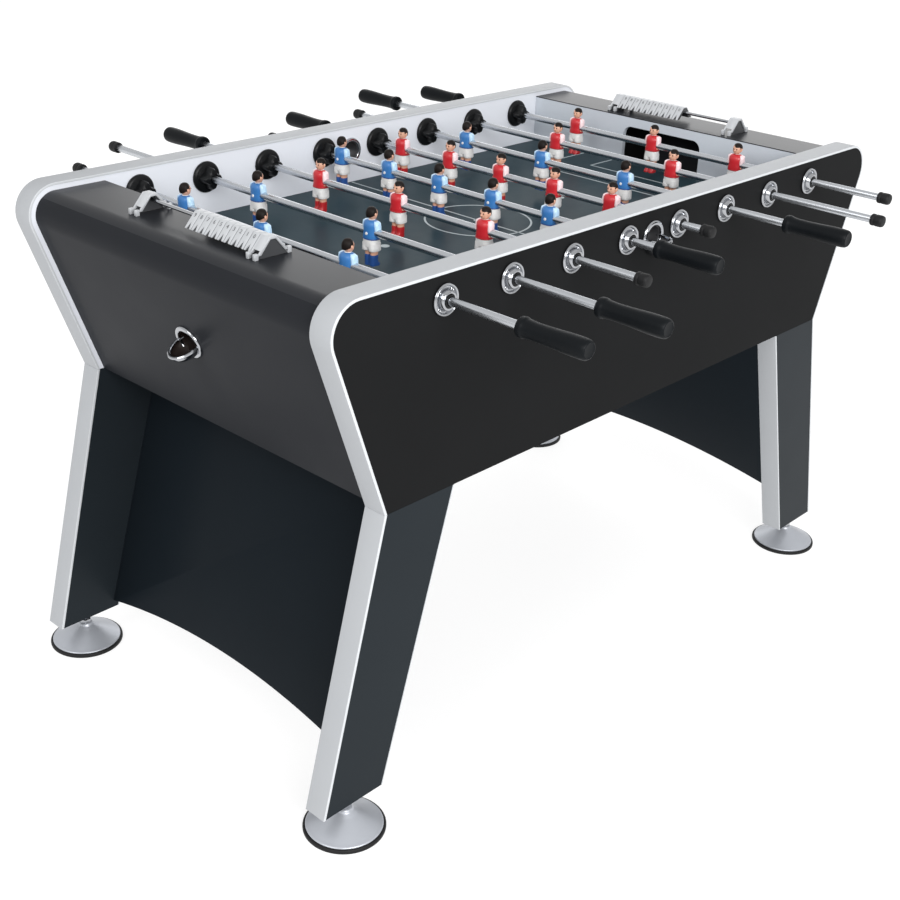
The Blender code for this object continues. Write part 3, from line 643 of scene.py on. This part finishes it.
def make_goal(end, sign):
    """The goal wall with its mouth, and the dark box behind it."""
    mouth = [(-GOAL_HALF_W, FIELD_Z + GAP), (GOAL_HALF_W, FIELD_Z + GAP)]
    for side, start in ((1, 0.0), (-1, math.pi / 2)):
        for i in range(9):
            angle = start + math.pi / 2 * i / 8
            mouth.append((
                side * (GOAL_HALF_W - GOAL_CORNER_R) + GOAL_CORNER_R * math.cos(angle),
                GOAL_TOP_Z - GOAL_CORNER_R + GOAL_CORNER_R * math.sin(angle),
            ))
    top_z = DECK_Z - DECK_SKIN - GAP
    board = [(-FIT_Y, GOAL_WALL_LOW_Z), (FIT_Y, GOAL_WALL_LOW_Z), (FIT_Y, top_z), (-FIT_Y, top_z)]
    low, top = sorted((sign * GOAL_X, sign * (GOAL_X + GOAL_WALL_T)))
    shape = plate("wall", [board, mouth], low, top, "X")
    wall = piece_from(f"goal_board_{end}", shape, GOAL_GREY)
    seat(wall, "cabinet", "light_laminate", f"goal_wall_{end}")
    reach = APRON_INSET + APRON_T + BOX_CLEARANCE
    root = GOAL_X + GOAL_WALL_T
    cheek = [
        (root, BOX_LOW_Z),
        (flare_x(BOX_LOW_Z, reach), BOX_LOW_Z),
        (flare_x(BOX_HIGH_Z, reach), BOX_HIGH_Z),
        (root, BOX_HIGH_Z),
    ]
    shape = bmesh.new()
    for side in (-1, 1):
        near, far = sorted((side * BOX_HALF_W, side * (BOX_HALF_W + BOX_WALL)))
        prism(shape, mirror_x(cheek, sign), near, far)
    high_end = RETURN_Z - RAMP_DROP
    low_end = RETURN_Z - RETURN_HOLE_R
    ramp = [
        (root, high_end),
        (flare_x(low_end, reach), low_end),
        (flare_x(low_end - BOX_WALL, reach), low_end - BOX_WALL),
        (root, high_end - BOX_WALL),
    ]
    prism(shape, mirror_x(ramp, sign), -BOX_HALF_W, BOX_HALF_W)
    near, far = sorted((sign * (root + HOOD_NEAR), sign * (root + HOOD_FAR)))
    block(shape, (near, -BOX_HALF_W, GOAL_TOP_Z + HOOD_LOW), (far, BOX_HALF_W, GOAL_TOP_Z + HOOD_HIGH))
    seat(piece_from(f"ball_box_{end}", shape, DARK), "cabinet", "black_laminate")


def make_field():
    """The field keeps its own solid. Its lines are thin strips that stand a little above it."""
    for node, finish in (("playfield", FIELD), ("field_brace", PINE)):
        materials = frame["nodes"][node].data.materials
        materials.clear()
        materials.append(finish)
    low, high = FIELD_Z + 0.0001, FIELD_Z + 0.0004
    half = LINE_W / 2
    shape = bmesh.new()
    edge_x, edge_y = GOAL_X - 0.004, FIT_Y - 0.004
    strips = [((-half, -edge_y), (half, edge_y))]
    for sign in (-1, 1):
        for depth, half_w in ((PENALTY_DEPTH, PENALTY_HALF_W), (SMALL_DEPTH, SMALL_HALF_W)):
            x = sign * (GOAL_X - depth)
            strips.append(((x - half, -half_w), (x + half, half_w)))
            for y in (-half_w, half_w):
                a, b = sorted((x, sign * edge_x))
                strips.append(((a, y - half), (b, y + half)))
    for (x0, y0), (x1, y1) in strips:
        block(shape, (x0, y0, low), (x1, y1, high))
    ring = [(CIRCLE_R - half, low), (CIRCLE_R + half, low), (CIRCLE_R + half, high), (CIRCLE_R - half, high)]
    turn(shape, ring, steps=96, wrap=True)
    for x in (0.0, -SPOT_X, SPOT_X):
        spot = [(0.0, high), (SPOT_R, high), (SPOT_R, low), (0.0, low)]
        turn(shape, spot, Matrix.Translation((x, 0.0, 0.0)), FINE)
    lines = piece_from("field_lines", shape, LINES)
    seat(lines, "cabinet", "line_white")


# ---- score counters
def tent(shape, x, y0, y1, low_z, wall):
    """An upside-down V of sheet with a flat ridge, between two places along Y."""
    half_low = COUNTER_HALF_RIDGE + COUNTER_RUN / COUNTER_RISE * (COUNTER_RIDGE_Z - low_z)
    outline = [
        (x - half_low, low_z), (x - COUNTER_HALF_RIDGE, COUNTER_RIDGE_Z),
        (x + COUNTER_HALF_RIDGE, COUNTER_RIDGE_Z), (x + half_low, low_z),
        (x + half_low - wall * 1.4, low_z), (x + COUNTER_HALF_RIDGE - wall * 0.3, COUNTER_RIDGE_Z - wall),
        (x - COUNTER_HALF_RIDGE + wall * 0.3, COUNTER_RIDGE_Z - wall), (x - half_low + wall * 1.4, low_z),
    ]
    prism(shape, outline, y0, y1)


def make_counter(end, sign):
    """Two brackets with a dark sheet of painted shade in each, the rail between them and the tiles."""
    x = sign * COUNTER_X
    shape = bmesh.new()
    for side in (-1, 1):
        y0, y1 = sorted((side * BRACKET_OUTER_Y, side * BRACKET_INNER_Y))
        tent(shape, x, y0, y0 + 0.0035, DECK_Z + 0.006, 0.0042)
        tent(shape, x, y1 - 0.0035, y1, DECK_Z + 0.006, 0.0042)
        tent(shape, x, y0 + 0.0030, y1 - 0.0030, DECK_Z + 0.012, 0.0028)
        for foot in (-1, 1):
            for prong in ((y0, y0 + 0.0055), (y1 - 0.0055, y1)):
                low = (x + foot * 0.0300 - 0.0035, prong[0], DECK_Z + 0.0001)
                block(shape, low, (low[0] + 0.0070, prong[1], DECK_Z + 0.0095))
    soften(shape, 0.0007)
    seat(piece_from(f"counter_brackets_{end}", shape, TILE), "cabinet", "tile_silver")
    shape = bmesh.new()
    for side in (-1, 1):
        y0, y1 = sorted((side * (BRACKET_OUTER_Y - 0.0025), side * (BRACKET_OUTER_Y - 0.0060)))
        # A dark sheet in each bracket's open end: painted shade of its hollow inside.
        shade_sheet = [(x - 0.027, DECK_Z + 0.0005), (x - 0.005, COUNTER_RIDGE_Z - 0.004),
                  (x + 0.005, COUNTER_RIDGE_Z - 0.004), (x + 0.027, DECK_Z + 0.0005)]
        prism(shape, shade_sheet, y0, y1)
    seat(piece_from(f"counter_shade_sheets_{end}", shape, COUNTER_SHADE), "cabinet", "black_laminate")
    shape = bmesh.new()
    rail = rounded([(0.0, -BRACKET_OUTER_Y + 0.005), (RAIL_R, -BRACKET_OUTER_Y + 0.005),
                    (RAIL_R, BRACKET_OUTER_Y - 0.005), (0.0, BRACKET_OUTER_Y - 0.005)], 0.001)
    turn(shape, rail, along_y(x, 0.0, RAIL_Z, 1), FINE)
    seat(piece_from(f"counter_rail_{end}", shape, CHROME), "cabinet", "chrome_plate")
    make_tiles(end, sign)


def slope_place(x, y, face):
    """A frame on one slope of the counter: local X along +Y, local Y down the slope, local Z outwards."""
    length = math.hypot(COUNTER_RUN, COUNTER_RISE)
    along = Vector((0.0, 1.0, 0.0))
    down = Vector((face * COUNTER_RUN / length, 0.0, -COUNTER_RISE / length))
    out = Vector((face * COUNTER_RISE / length, 0.0, COUNTER_RUN / length))
    place = Matrix((along, down, out)).transposed().to_4x4()
    place.translation = (x + face * COUNTER_HALF_RIDGE, y, COUNTER_RIDGE_Z)
    return place


def slab(shape, outline, place, thickness):
    """Extrude an outline, given in the frame's X and Y, inwards by the thickness."""
    rings = [[place @ Vector((u, v, level)) for u, v in outline] for level in (-thickness, 0.0)]
    skin_rings(shape, rings)


def make_tiles(end, sign):
    """Ten tiles on the rail, each an upside-down V with a notch in each lower edge, and a dark tent of
    painted shade under them.
    """
    low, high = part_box(f"score_tiles_{end}")
    x = sign * COUNTER_X
    rise = TILE_REACH * (COUNTER_RISE - TILE_LIFT)
    length = rise * math.hypot(1.0, COUNTER_RUN / COUNTER_RISE)
    first, last, middle = 0.0006, TILE_PITCH - 0.0006, TILE_PITCH / 2
    half_notch, notch_top = 0.0034, 0.60 * length
    outline = [
        (first, 0.0), (last, 0.0), (last, length), (middle + half_notch, length),
        (middle, notch_top), (middle - half_notch, length), (first, length),
    ]
    shape = bmesh.new()
    numbers = bmesh.new()
    for i in range(TILE_COUNT):
        y = low.y + TILE_PITCH * i
        ridge = (x - COUNTER_HALF_RIDGE, y + first, COUNTER_RIDGE_Z - TILE_WALL)
        block(shape, ridge, (x + COUNTER_HALF_RIDGE, y + last, COUNTER_RIDGE_Z))
        for face in (-1, 1):
            slab(shape, outline, slope_place(x, y, face), TILE_WALL)
            add_number(numbers, str(i), x, y + middle, face)
    soften(shape, 0.0004)
    body = f"score_tiles_{end}"
    seat(piece_from(f"tiles_{end}", shape, TILE), body, "tile_silver", body)
    seat(piece_from(f"tile_numbers_{end}", numbers, NUMBER), body, "tile_silver")
    # A dark tent under the tiles stands for the shade in their hollow: painted shade.
    inner = bmesh.new()
    tent(inner, x, low.y + 0.001, high.y - 0.001, COUNTER_RIDGE_Z - rise + 0.002, 0.0060)
    for vert in inner.verts:
        vert.co.z -= TILE_WALL + 0.0006
    seat(piece_from(f"tile_painted_shade_{end}", inner, COUNTER_SHADE), body, "tile_silver")


def add_number(shape, text, x, y, face):
    """A thin raised figure on one slope of a tile, upright for someone who stands on that side."""
    curve = bpy.data.curves.new("number", "FONT")
    curve.body = text
    curve.size = NUMBER_SIZE
    curve.extrude = 0.00015
    curve.align_x = "CENTER"
    curve.align_y = "CENTER"
    curve.resolution_u = 2
    figure = in_scene("number", curve)
    mesh = evaluated_mesh(figure)
    bpy.data.objects.remove(figure, do_unlink=True)
    place = slope_place(x, y, face) @ Matrix.Translation((0.0, NUMBER_DROP, 0.0002))
    across = 1.0 if face > 0 else -1.0
    turn_up = Matrix(((across, 0, 0, 0), (0, -1, 0, 0), (0, 0, 1, 0), (0, 0, 0, 1)))
    mesh.transform(place @ turn_up)
    shape.from_mesh(mesh)
    bpy.data.meshes.remove(mesh)


# ---- rods
def make_bearing(label, side, number):
    """The chromed outer flange with its screws, and the black sleeve and inner disc with a lobed hub."""
    place = along_y(rod_x(number), side * HALF_WIDTH, ROD_Z, side)
    shape = bmesh.new()
    flange = [
        (0.0100, GAP), (FLANGE_R, GAP), (FLANGE_R, 0.0036), (0.0222, 0.0062), (0.0203, 0.0048),
        (0.0190, 0.0014), (0.0166, 0.0014), (0.0152, 0.0066), (0.0138, 0.0108), (0.0118, 0.0114),
        (0.0100, 0.0108),
    ]
    turn(shape, rounded(flange, 0.0009, 3, closed=True), place, 48, wrap=True)
    for k in range(4):
        angle = math.radians(45 + 90 * k)
        spot = place @ Matrix.Translation((0.0178 * math.cos(angle), 0.0178 * math.sin(angle), 0.0022))
        # A dark plug in each screw stands for the hole in it: painted shade.
        turn(shape, [(0.0, 0.0006), (0.0014, 0.0006), (0.0014, -0.002), (0.0, -0.002)], spot, 12, finish=1)
        rim = [(0.0014, -0.001), (0.0027, -0.001), (0.0027, 0.0006), (0.0020, 0.0012), (0.0014, 0.0008)]
        turn(shape, rim, spot, 16, wrap=True)
    seat(piece_from(f"flange_{label}_{number}", shape, CHROME, DARK), "cabinet", "chrome_plate")
    shape = bmesh.new()
    sleeve = [(BEARING_BORE_R, -0.030), (0.0098, -0.030), (0.0098, 0.0120), (BEARING_BORE_R, 0.0120)]
    turn(shape, rounded(sleeve, 0.0008, 2, closed=True), place, FINE, wrap=True)
    inner = -BOARD - GAP
    disc = [
        (BEARING_BORE_R, inner), (NUT_R, inner), (NUT_R, inner - 0.0045), (0.0245, inner - 0.0068),
        (0.0150, inner - 0.0085), (BEARING_BORE_R, inner - 0.0085),
    ]
    turn(shape, rounded(disc, 0.0015, 3, closed=True), place, 48, wrap=True)

    def lobed(base):
        return lambda angle: base * (1.0 + 0.22 * math.cos(4 * angle))

    hub = [(BEARING_BORE_R, inner - 0.006), (lobed(0.0160), inner - 0.006), (lobed(0.0156), inner - 0.021),
           (lobed(0.0138), inner - 0.0245), (0.0105, inner - 0.0255), (BEARING_BORE_R, inner - 0.0255)]
    turn(shape, hub, place, 48, wrap=True)
    nut = piece_from(f"nut_{label}_{number}", shape, NYLON)
    seat(nut, "cabinet", "bearing_plastic", f"bearing_{label}_{number}")


def squircle(z, x, y, half_x, half_y, power):
    """A level ring between an ellipse and a rectangle."""
    points, steps = [], 20
    for i in range(steps):
        angle = 2 * math.pi * i / steps
        c, s = math.cos(angle), math.sin(angle)
        points.append(Vector((
            x + half_x * math.copysign(abs(c) ** (2 / power), c),
            y + half_y * math.copysign(abs(s) ** (2 / power), s),
            z,
        )))
    return points


def loft(shape, levels, finish):
    """Skin level rings given in millimetres as (z, x, y, half x, half y, power)."""
    rings = [squircle(*(MM * size for size in sizes), power) for *sizes, power in levels]
    skin_rings(shape, rings, finish=finish)


def build_man(team):
    """One man facing +X, in millimetres from where the rod would be without MAN_LIFT."""
    kit, sleeve, white, skin, hair, sock = range(6)
    shape = bmesh.new()
    loft(shape, [(-17.2, 0.3, 0, 11.6, 13.4, 2.5), (-15.4, 0.3, 0, 12.1, 14.0, 2.5),
                 (-10, 0.2, 0, 11.7, 13.4, 2.4), (-4, 0.2, 0, 11.4, 13.0, 2.4), (2, 0.4, 0, 11.7, 13.4, 2.4),
                 (7, 0.3, 0, 10.8, 13.8, 2.3), (10.4, 0, 0, 8.2, 12.4, 2.2),
                 (12.6, 0, 0, 4.8, 7.2, 2.1)], kit)
    loft(shape, [(-18.0, 0.3, 0, 11.8, 13.7, 2.5), (-17.4, 0.3, 0, 12.4, 14.3, 2.5),
                 (-16.2, 0.3, 0, 12.4, 14.3, 2.5), (-15.6, 0.3, 0, 11.9, 13.8, 2.5)], sock)
    loft(shape, [(10.5, 0, 0, 4.6, 5.2, 2), (12.4, 0, 0, 5.2, 6.0, 2), (13.2, 0, 0, 4.4, 5.0, 2)], white)
    loft(shape, [(10, 0.2, 0, 3.6, 4.0, 2), (15, 0.6, 0, 3.8, 4.0, 2)], skin)
    head = [(12.6, 1.6, 0, 2.6, 2.6, 2), (13.6, 1.4, 0, 5.2, 5.2, 2), (16.5, 1.0, 0, 7.4, 6.9, 2.3),
            (20.5, 0.6, 0, 8.3, 8.0, 2.3), (25, 0.2, 0, 8.4, 8.2, 2.3), (28.5, -0.2, 0, 7.2, 7.2, 2.2),
            (30.4, -0.4, 0, 5.0, 5.2, 2), (31.2, -0.6, 0, 2.0, 2.2, 2)]
    loft(shape, head, skin)
    loft(shape, [(18.4, 9.0, 0, 0.7, 1.1, 2), (19.6, 9.6, 0, 1.3, 1.5, 2), (21.6, 9.2, 0, 0.8, 0.9, 2),
                 (23.4, 8.4, 0, 0.4, 0.6, 2)], skin)
    for side in (-1, 1):
        loft(shape, [(17.8, -0.2, side * 8.0, 1.2, 0.8, 2), (20.5, -0.3, side * 8.8, 1.9, 1.3, 2),
                     (23.2, -0.6, side * 8.9, 1.8, 1.2, 2), (24.4, -0.6, side * 8.4, 0.8, 0.6, 2)], skin)
        loft(shape, [(21.9, 8.4, side * 3.3, 0.7, 0.9, 2), (22.8, 8.7, side * 3.3, 0.6, 1.1, 2),
                     (23.6, 8.4, side * 3.3, 0.5, 0.8, 2)], hair)
    add_hair(shape, hair)
    for side in (-1, 1):
        # The upper arms take the pale sleeve finish: painted highlight.
        loft(shape, [(11.4, 0, side * 10.4, 4.2, 3.0, 2.2), (9.4, 0, side * 12.2, 5.8, 4.3, 2.3),
                     (4.0, 0.3, side * 12.9, 6.4, 4.1, 2.4), (-3.4, 0.8, side * 13.3, 6.2, 3.7, 2.4),
                     (-6.0, 0.8, side * 13.4, 5.6, 3.4, 2.4)], sleeve)
        loft(shape, [(-5.0, 1.0, side * 13.8, 3.6, 2.6, 2), (-8.5, 1.6, side * 13.8, 3.4, 2.6, 2),
                     (-11.4, 2.2, side * 13.6, 3.2, 2.5, 2), (-13.6, 2.4, side * 13.2, 2.2, 1.8, 2)], skin)
        loft(shape, [(-24, 0.2, side * 6.8, 10.8, 6.8, 2.6), (-31, 0.2, side * 7.0, 10.8, 6.9, 2.6),
                     (-35.6, 0.2, side * 7.2, 10.9, 7.0, 2.6),
                     (-36.6, 0.2, side * 7.2, 10.0, 6.3, 2.6)], white)
        loft(shape, [(-35.0, 0, side * 6.2, 7.2, 5.2, 2.2), (-40, 0.2, side * 6.0, 6.7, 5.0, 2.2),
                     (-45, 0, side * 5.8, 6.4, 4.8, 2.2)], skin)
        loft(shape, [(-43.2, 0, side * 5.6, 7.2, 5.2, 2.4), (-44.6, 0, side * 5.6, 7.4, 5.4, 2.4),
                     (-50, -0.1, side * 5.5, 7.2, 5.3, 2.5), (-55, 0.4, side * 5.5, 7.4, 5.3, 2.6),
                     (-57, 1.8, side * 5.5, 8.8, 5.4, 2.7), (-59.5, 2.1, side * 5.5, 9.2, 5.4, 2.9),
                     (-61, 2.1, side * 5.5, 8.8, 5.2, 2.9)], sock)
    loft(shape, [(-16.8, 0.2, 0, 11.2, 13.2, 2.6), (-23, 0.2, 0, 11.5, 13.8, 2.6),
                 (-30, 0.2, 0, 10.6, 13.4, 2.6)], white)
    loft(shape, [(-29, 0, 0, 7.6, 5.4, 2.6), (-35, 0, 0, 6.2, 2.8, 2.6)], white)
    loft(shape, [(-47, 0, 0, 5.0, 2.0, 3), (-60.6, 1.6, 0, 7.4, 2.0, 3)], sock)
    backwards = Matrix.Rotation(math.radians(-90), 4, "Y")
    screw = Matrix.Translation((-0.0116, 0.0, -0.001 - MAN_LIFT)) @ backwards
    turn(shape, [(0.0, 0.0009), (0.0020, 0.0008), (0.0026, 0.0), (0.0026, -0.001), (0.0, -0.001)], screw, 16,
         finish=white)
    finishes = (KIT[team], SLEEVE_HIGHLIGHT[team], WHITE, SKIN, HAIR, SOCK[team])
    return piece_from(f"pattern_{team}", shape, *finishes, angle=50.0)


def add_hair(shape, finish):
    """A cap of hair: a grid over the head that reaches lower at the back than over the forehead."""
    around, rise = 28, 9
    rings = []
    for j in range(rise + 1):
        ring = []
        for i in range(around):
            angle = 2 * math.pi * i / around
            front = 0.5 + 0.5 * math.cos(angle)
            base = math.radians(-32 + 50 * front ** 0.8)
            dip = base + (math.radians(88) - base) * j / rise
            swell = 1.0 + 0.03 * math.sin(3 * angle) * math.cos(dip)
            reach = swell * math.cos(dip) ** 0.75
            ring.append(Vector((
                -0.0006 + 0.0092 * reach * math.cos(angle),
                0.0089 * reach * math.sin(angle),
                0.0222 + 0.0108 * math.sin(dip),
            )))
        rings.append(ring)
    skin_rings(shape, rings, finish=finish)


def make_men(number, patterns):
    """All the men of one rod, set along it."""
    team = ROD_TEAM[number - 1]
    axis = Vector(JOINTS[f"rod_{number}_spin"]["pos_m"])
    facing = Matrix.Rotation(0.0 if team == "blue" else math.pi, 4, "Z")
    crowd = bmesh.new()
    for y in MEN[ROD_MEN[number - 1]]:
        copy = patterns[team].data.copy()
        copy.transform(Matrix.Translation(axis + Vector((0.0, y, MAN_LIFT))) @ facing)
        crowd.from_mesh(copy)
        bpy.data.meshes.remove(copy)
    men = piece_from(f"men_{number}", crowd, *patterns[team].data.materials, angle=50.0)
    seat(men, f"rod_{number}", f"{team}_kit")


def make_rod(number):
    """The hollow tube, with the handle on one end and the cap on the other."""
    x, _, z = JOINTS[f"rod_{number}_spin"]["pos_m"]
    low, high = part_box(f"rod_{number}")
    shape = bmesh.new()
    tube = [(ROD_R, low.y), (ROD_R, high.y), (ROD_BORE_R, high.y), (ROD_BORE_R, low.y)]
    turn(shape, rounded(tube, 0.0005, 2, closed=True), along_y(x, 0.0, z, 1), ROUND, wrap=True)
    seat(piece_from(f"tube_{number}", shape, ROD_CHROME), f"rod_{number}", "chrome_rod", f"rod_{number}")
    make_handle(number, x, z)
    make_cap(number, x, z)


def rod_end(node):
    """The sign of the way outwards along Y, where a node on a rod's end starts, and its length."""
    low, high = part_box(node)
    side = 1 if low.y > 0 else -1
    return side, low.y if side > 0 else high.y, high.y - low.y


def make_handle(number, x, z):
    side, start, length = rod_end(f"handle_{number}")
    profile = [
        (ROD_R + 0.0002, 0.0), (0.0136, 0.0), (0.0148, 0.0018), (0.0150, 0.0080), (0.0145, 0.0098),
        (0.0140, 0.0112), (0.0137, 0.0125), (0.0131, 0.0190), (0.0128, 0.0270), (0.0128, 0.0350),
        (0.0130, 0.0450), (0.0134, 0.0560), (0.0140, 0.0690), (0.0146, 0.0820), (0.0148, 0.0930),
        (0.0147, 0.1040), (0.0140, 0.1105), (0.0122, length - 0.0008), (0.0105, length),
        (0.0100, length - 0.0008), (0.0, length - 0.0010),
    ]
    shape = bmesh.new()
    turn(shape, rounded(profile, 0.0022, 3), along_y(x, start, z, side), 48)
    handle = piece_from(f"grip_{number}", shape, GRIP, angle=50.0)
    seat(handle, f"rod_{number}", "grip_plastic", f"handle_{number}")


def make_cap(number, x, z):
    side, start, length = rod_end(f"end_cap_{number}")
    profile = [
        (ROD_R + 0.0001, 0.0), (0.0094, 0.0), (0.0100, 0.0015), (0.0100, 0.0050), (0.0094, 0.0062),
        (0.0094, 0.0076), (0.0100, 0.0088), (0.0100, length - 0.0040), (0.0086, length - 0.0006),
        (0.0, length),
    ]
    shape = bmesh.new()
    turn(shape, rounded(profile, 0.0008, 2), along_y(x, start, z, side), 32)
    cap = piece_from(f"cap_{number}", shape, RUBBER, angle=50.0)
    seat(cap, f"slider_{number}", "cap_rubber", f"end_cap_{number}")


# ---- levelling feet
def make_leveller(name):
    """A cone on a rubber pad, with a threaded stud and its nut."""
    low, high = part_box(name)
    place = Matrix.Translation(((low.x + high.x) / 2, (low.y + high.y) / 2, 0.0))
    radius = (high.x - low.x) / 2
    shape = bmesh.new()
    cone = [
        (0.0, 0.0395), (0.0100, 0.0395), (0.0122, 0.0380), (0.0140, 0.0345), (0.0210, 0.0295),
        (0.0560, 0.0108), (0.0600, 0.0090), (0.0612, 0.0072), (0.0600, 0.0058), (0.0, 0.0058),
    ]
    turn(shape, rounded(cone, 0.0018, 3), place, 64)
    seat(piece_from(f"{name}_cone", shape, FOOT, angle=50.0), name, "foot_silver", name)
    shape = bmesh.new()
    ring = [(0.0, 0.0), (radius, 0.0), (radius, 0.0052), (0.0625, 0.0075), (0.0605, 0.0060), (0.0, 0.0060)]
    turn(shape, rounded(ring, 0.0016, 3), place, 64)
    seat(piece_from(f"{name}_pad", shape, RUBBER, angle=50.0), name, "cap_rubber")
    shape = bmesh.new()
    stud = [(0.0, 0.038), (0.0049, 0.038)]
    pitch, turns = 0.0015, 30
    for k in range(turns):
        z = 0.0395 + pitch * k
        stud += [(0.0049, z), (0.0042, z + pitch / 2)]
    stud += [(0.0042, 0.0845), (0.0, 0.0848)]
    turn(shape, stud, place, 20)
    nut = ring_of(0.0105, 0.0390, place, 6), ring_of(0.0105, 0.0450, place, 6)
    skin_rings(shape, nut)
    seat(piece_from(f"{name}_stud", shape, CHROME, angle=20.0), name, "chrome_plate")


# ---- stage
def make_floor():
    """A pale floor with a glow of its own, so that it renders as near white as the photo's ground."""
    shape = bmesh.new()
    bmesh.ops.create_grid(shape, x_segments=8, y_segments=8, size=FLOOR_HALF)
    mesh = bpy.data.meshes.new("floor")
    shape.to_mesh(mesh)
    shape.free()
    pale = material("floor_pale", (0.34, 0.34, 0.34), 0.75, specular=0.10, vary=0.01, bump=0.0)
    shader = pale.node_tree.nodes["Principled BSDF"]
    shader.inputs["Emission Color"].default_value = (1.0, 1.0, 1.0, 1.0)
    shader.inputs["Emission Strength"].default_value = FLOOR_GLOW
    mesh.materials.append(pale)
    floor = in_scene("floor", mesh)


def area_light(name, position, target, size, power):
    light = bpy.data.lights.new(name, "AREA")
    light.shape = "RECTANGLE"
    light.size, light.size_y = size
    light.energy = power
    lamp = in_scene(name, light)
    lamp.location = position
    lamp.rotation_euler = (Vector(target) - Vector(position)).to_track_quat("-Z", "Y").to_euler()
    lamp.visible_camera = False


def sun_light(name, towards, strength, angle):
    light = bpy.data.lights.new(name, "SUN")
    light.energy = strength
    light.angle = math.radians(angle)
    lamp = in_scene(name, light)
    lamp.rotation_euler = Vector(towards).to_track_quat("Z", "Y").to_euler()


def make_lights():
    """A neutral room, a broad sun from the left and two softboxes."""
    world = bpy.data.worlds.new("studio")
    world.use_nodes = True
    background = world.node_tree.nodes["Background"]
    background.inputs["Color"].default_value = (1.0, 1.0, 1.0, 1.0)
    background.inputs["Strength"].default_value = WORLD_STRENGTH
    bpy.context.scene.world = world
    sun_light("sun", (-0.9, -0.1, 0.6), SUN_STRENGTH, SUN_ANGLE)
    area_light("back_softbox", (3.0, 2.2, 1.75), (0.0, 0.0, 0.86), (4.2, 1.9), BACK_POWER)
    area_light("front_fill", (-1.4, -3.0, 2.0), (0.0, 0.3, 0.8), (2.4, 1.0), FILL_POWER)
    bpy.context.scene.view_settings.view_transform = "Standard"


def make_camera():
    """The camera that was fitted to the photo."""
    azimuth, elevation, roll = math.radians(-47.52), math.radians(25.49), math.radians(2.2076)
    back = Vector((
        math.sin(azimuth) * math.cos(elevation),
        -math.cos(azimuth) * math.cos(elevation),
        math.sin(elevation),
    ))
    right = Vector((math.cos(azimuth), math.sin(azimuth), 0.0))
    up = back.cross(right)
    turned_right = right * math.cos(roll) + up * math.sin(roll)
    turned_up = up * math.cos(roll) - right * math.sin(roll)
    data = bpy.data.cameras.new("camera")
    data.lens = 54.54
    data.sensor_width = 36.0
    data.shift_x = -0.0007
    data.shift_y = -0.0170
    camera = in_scene("camera", data)
    place = Matrix((turned_right, turned_up, back)).transposed().to_4x4()
    place.translation = (-1.7642, -1.5694, 1.4621)
    camera.matrix_world = place
    bpy.context.scene.camera = camera


make_camera()
make_lights()
make_floor()
for label, side in SIDES:
    make_side_panel(label, side)
    for number in RODS:
        make_bearing(label, side, number)
    for end, sign in ENDS:
        make_leg(label, side, end, sign)
        make_leveller(f"leveller_{label}_{end}")
for end, sign in ENDS:
    make_leg_panel(end, sign)
    make_apron(end, sign)
    make_goal(end, sign)
    make_counter(end, sign)
make_field()
patterns = {team: build_man(team) for team in KIT}
for number in RODS:
    make_men(number, patterns)
    make_rod(number)
for pattern in patterns.values():
    bpy.data.objects.remove(pattern, do_unlink=True)
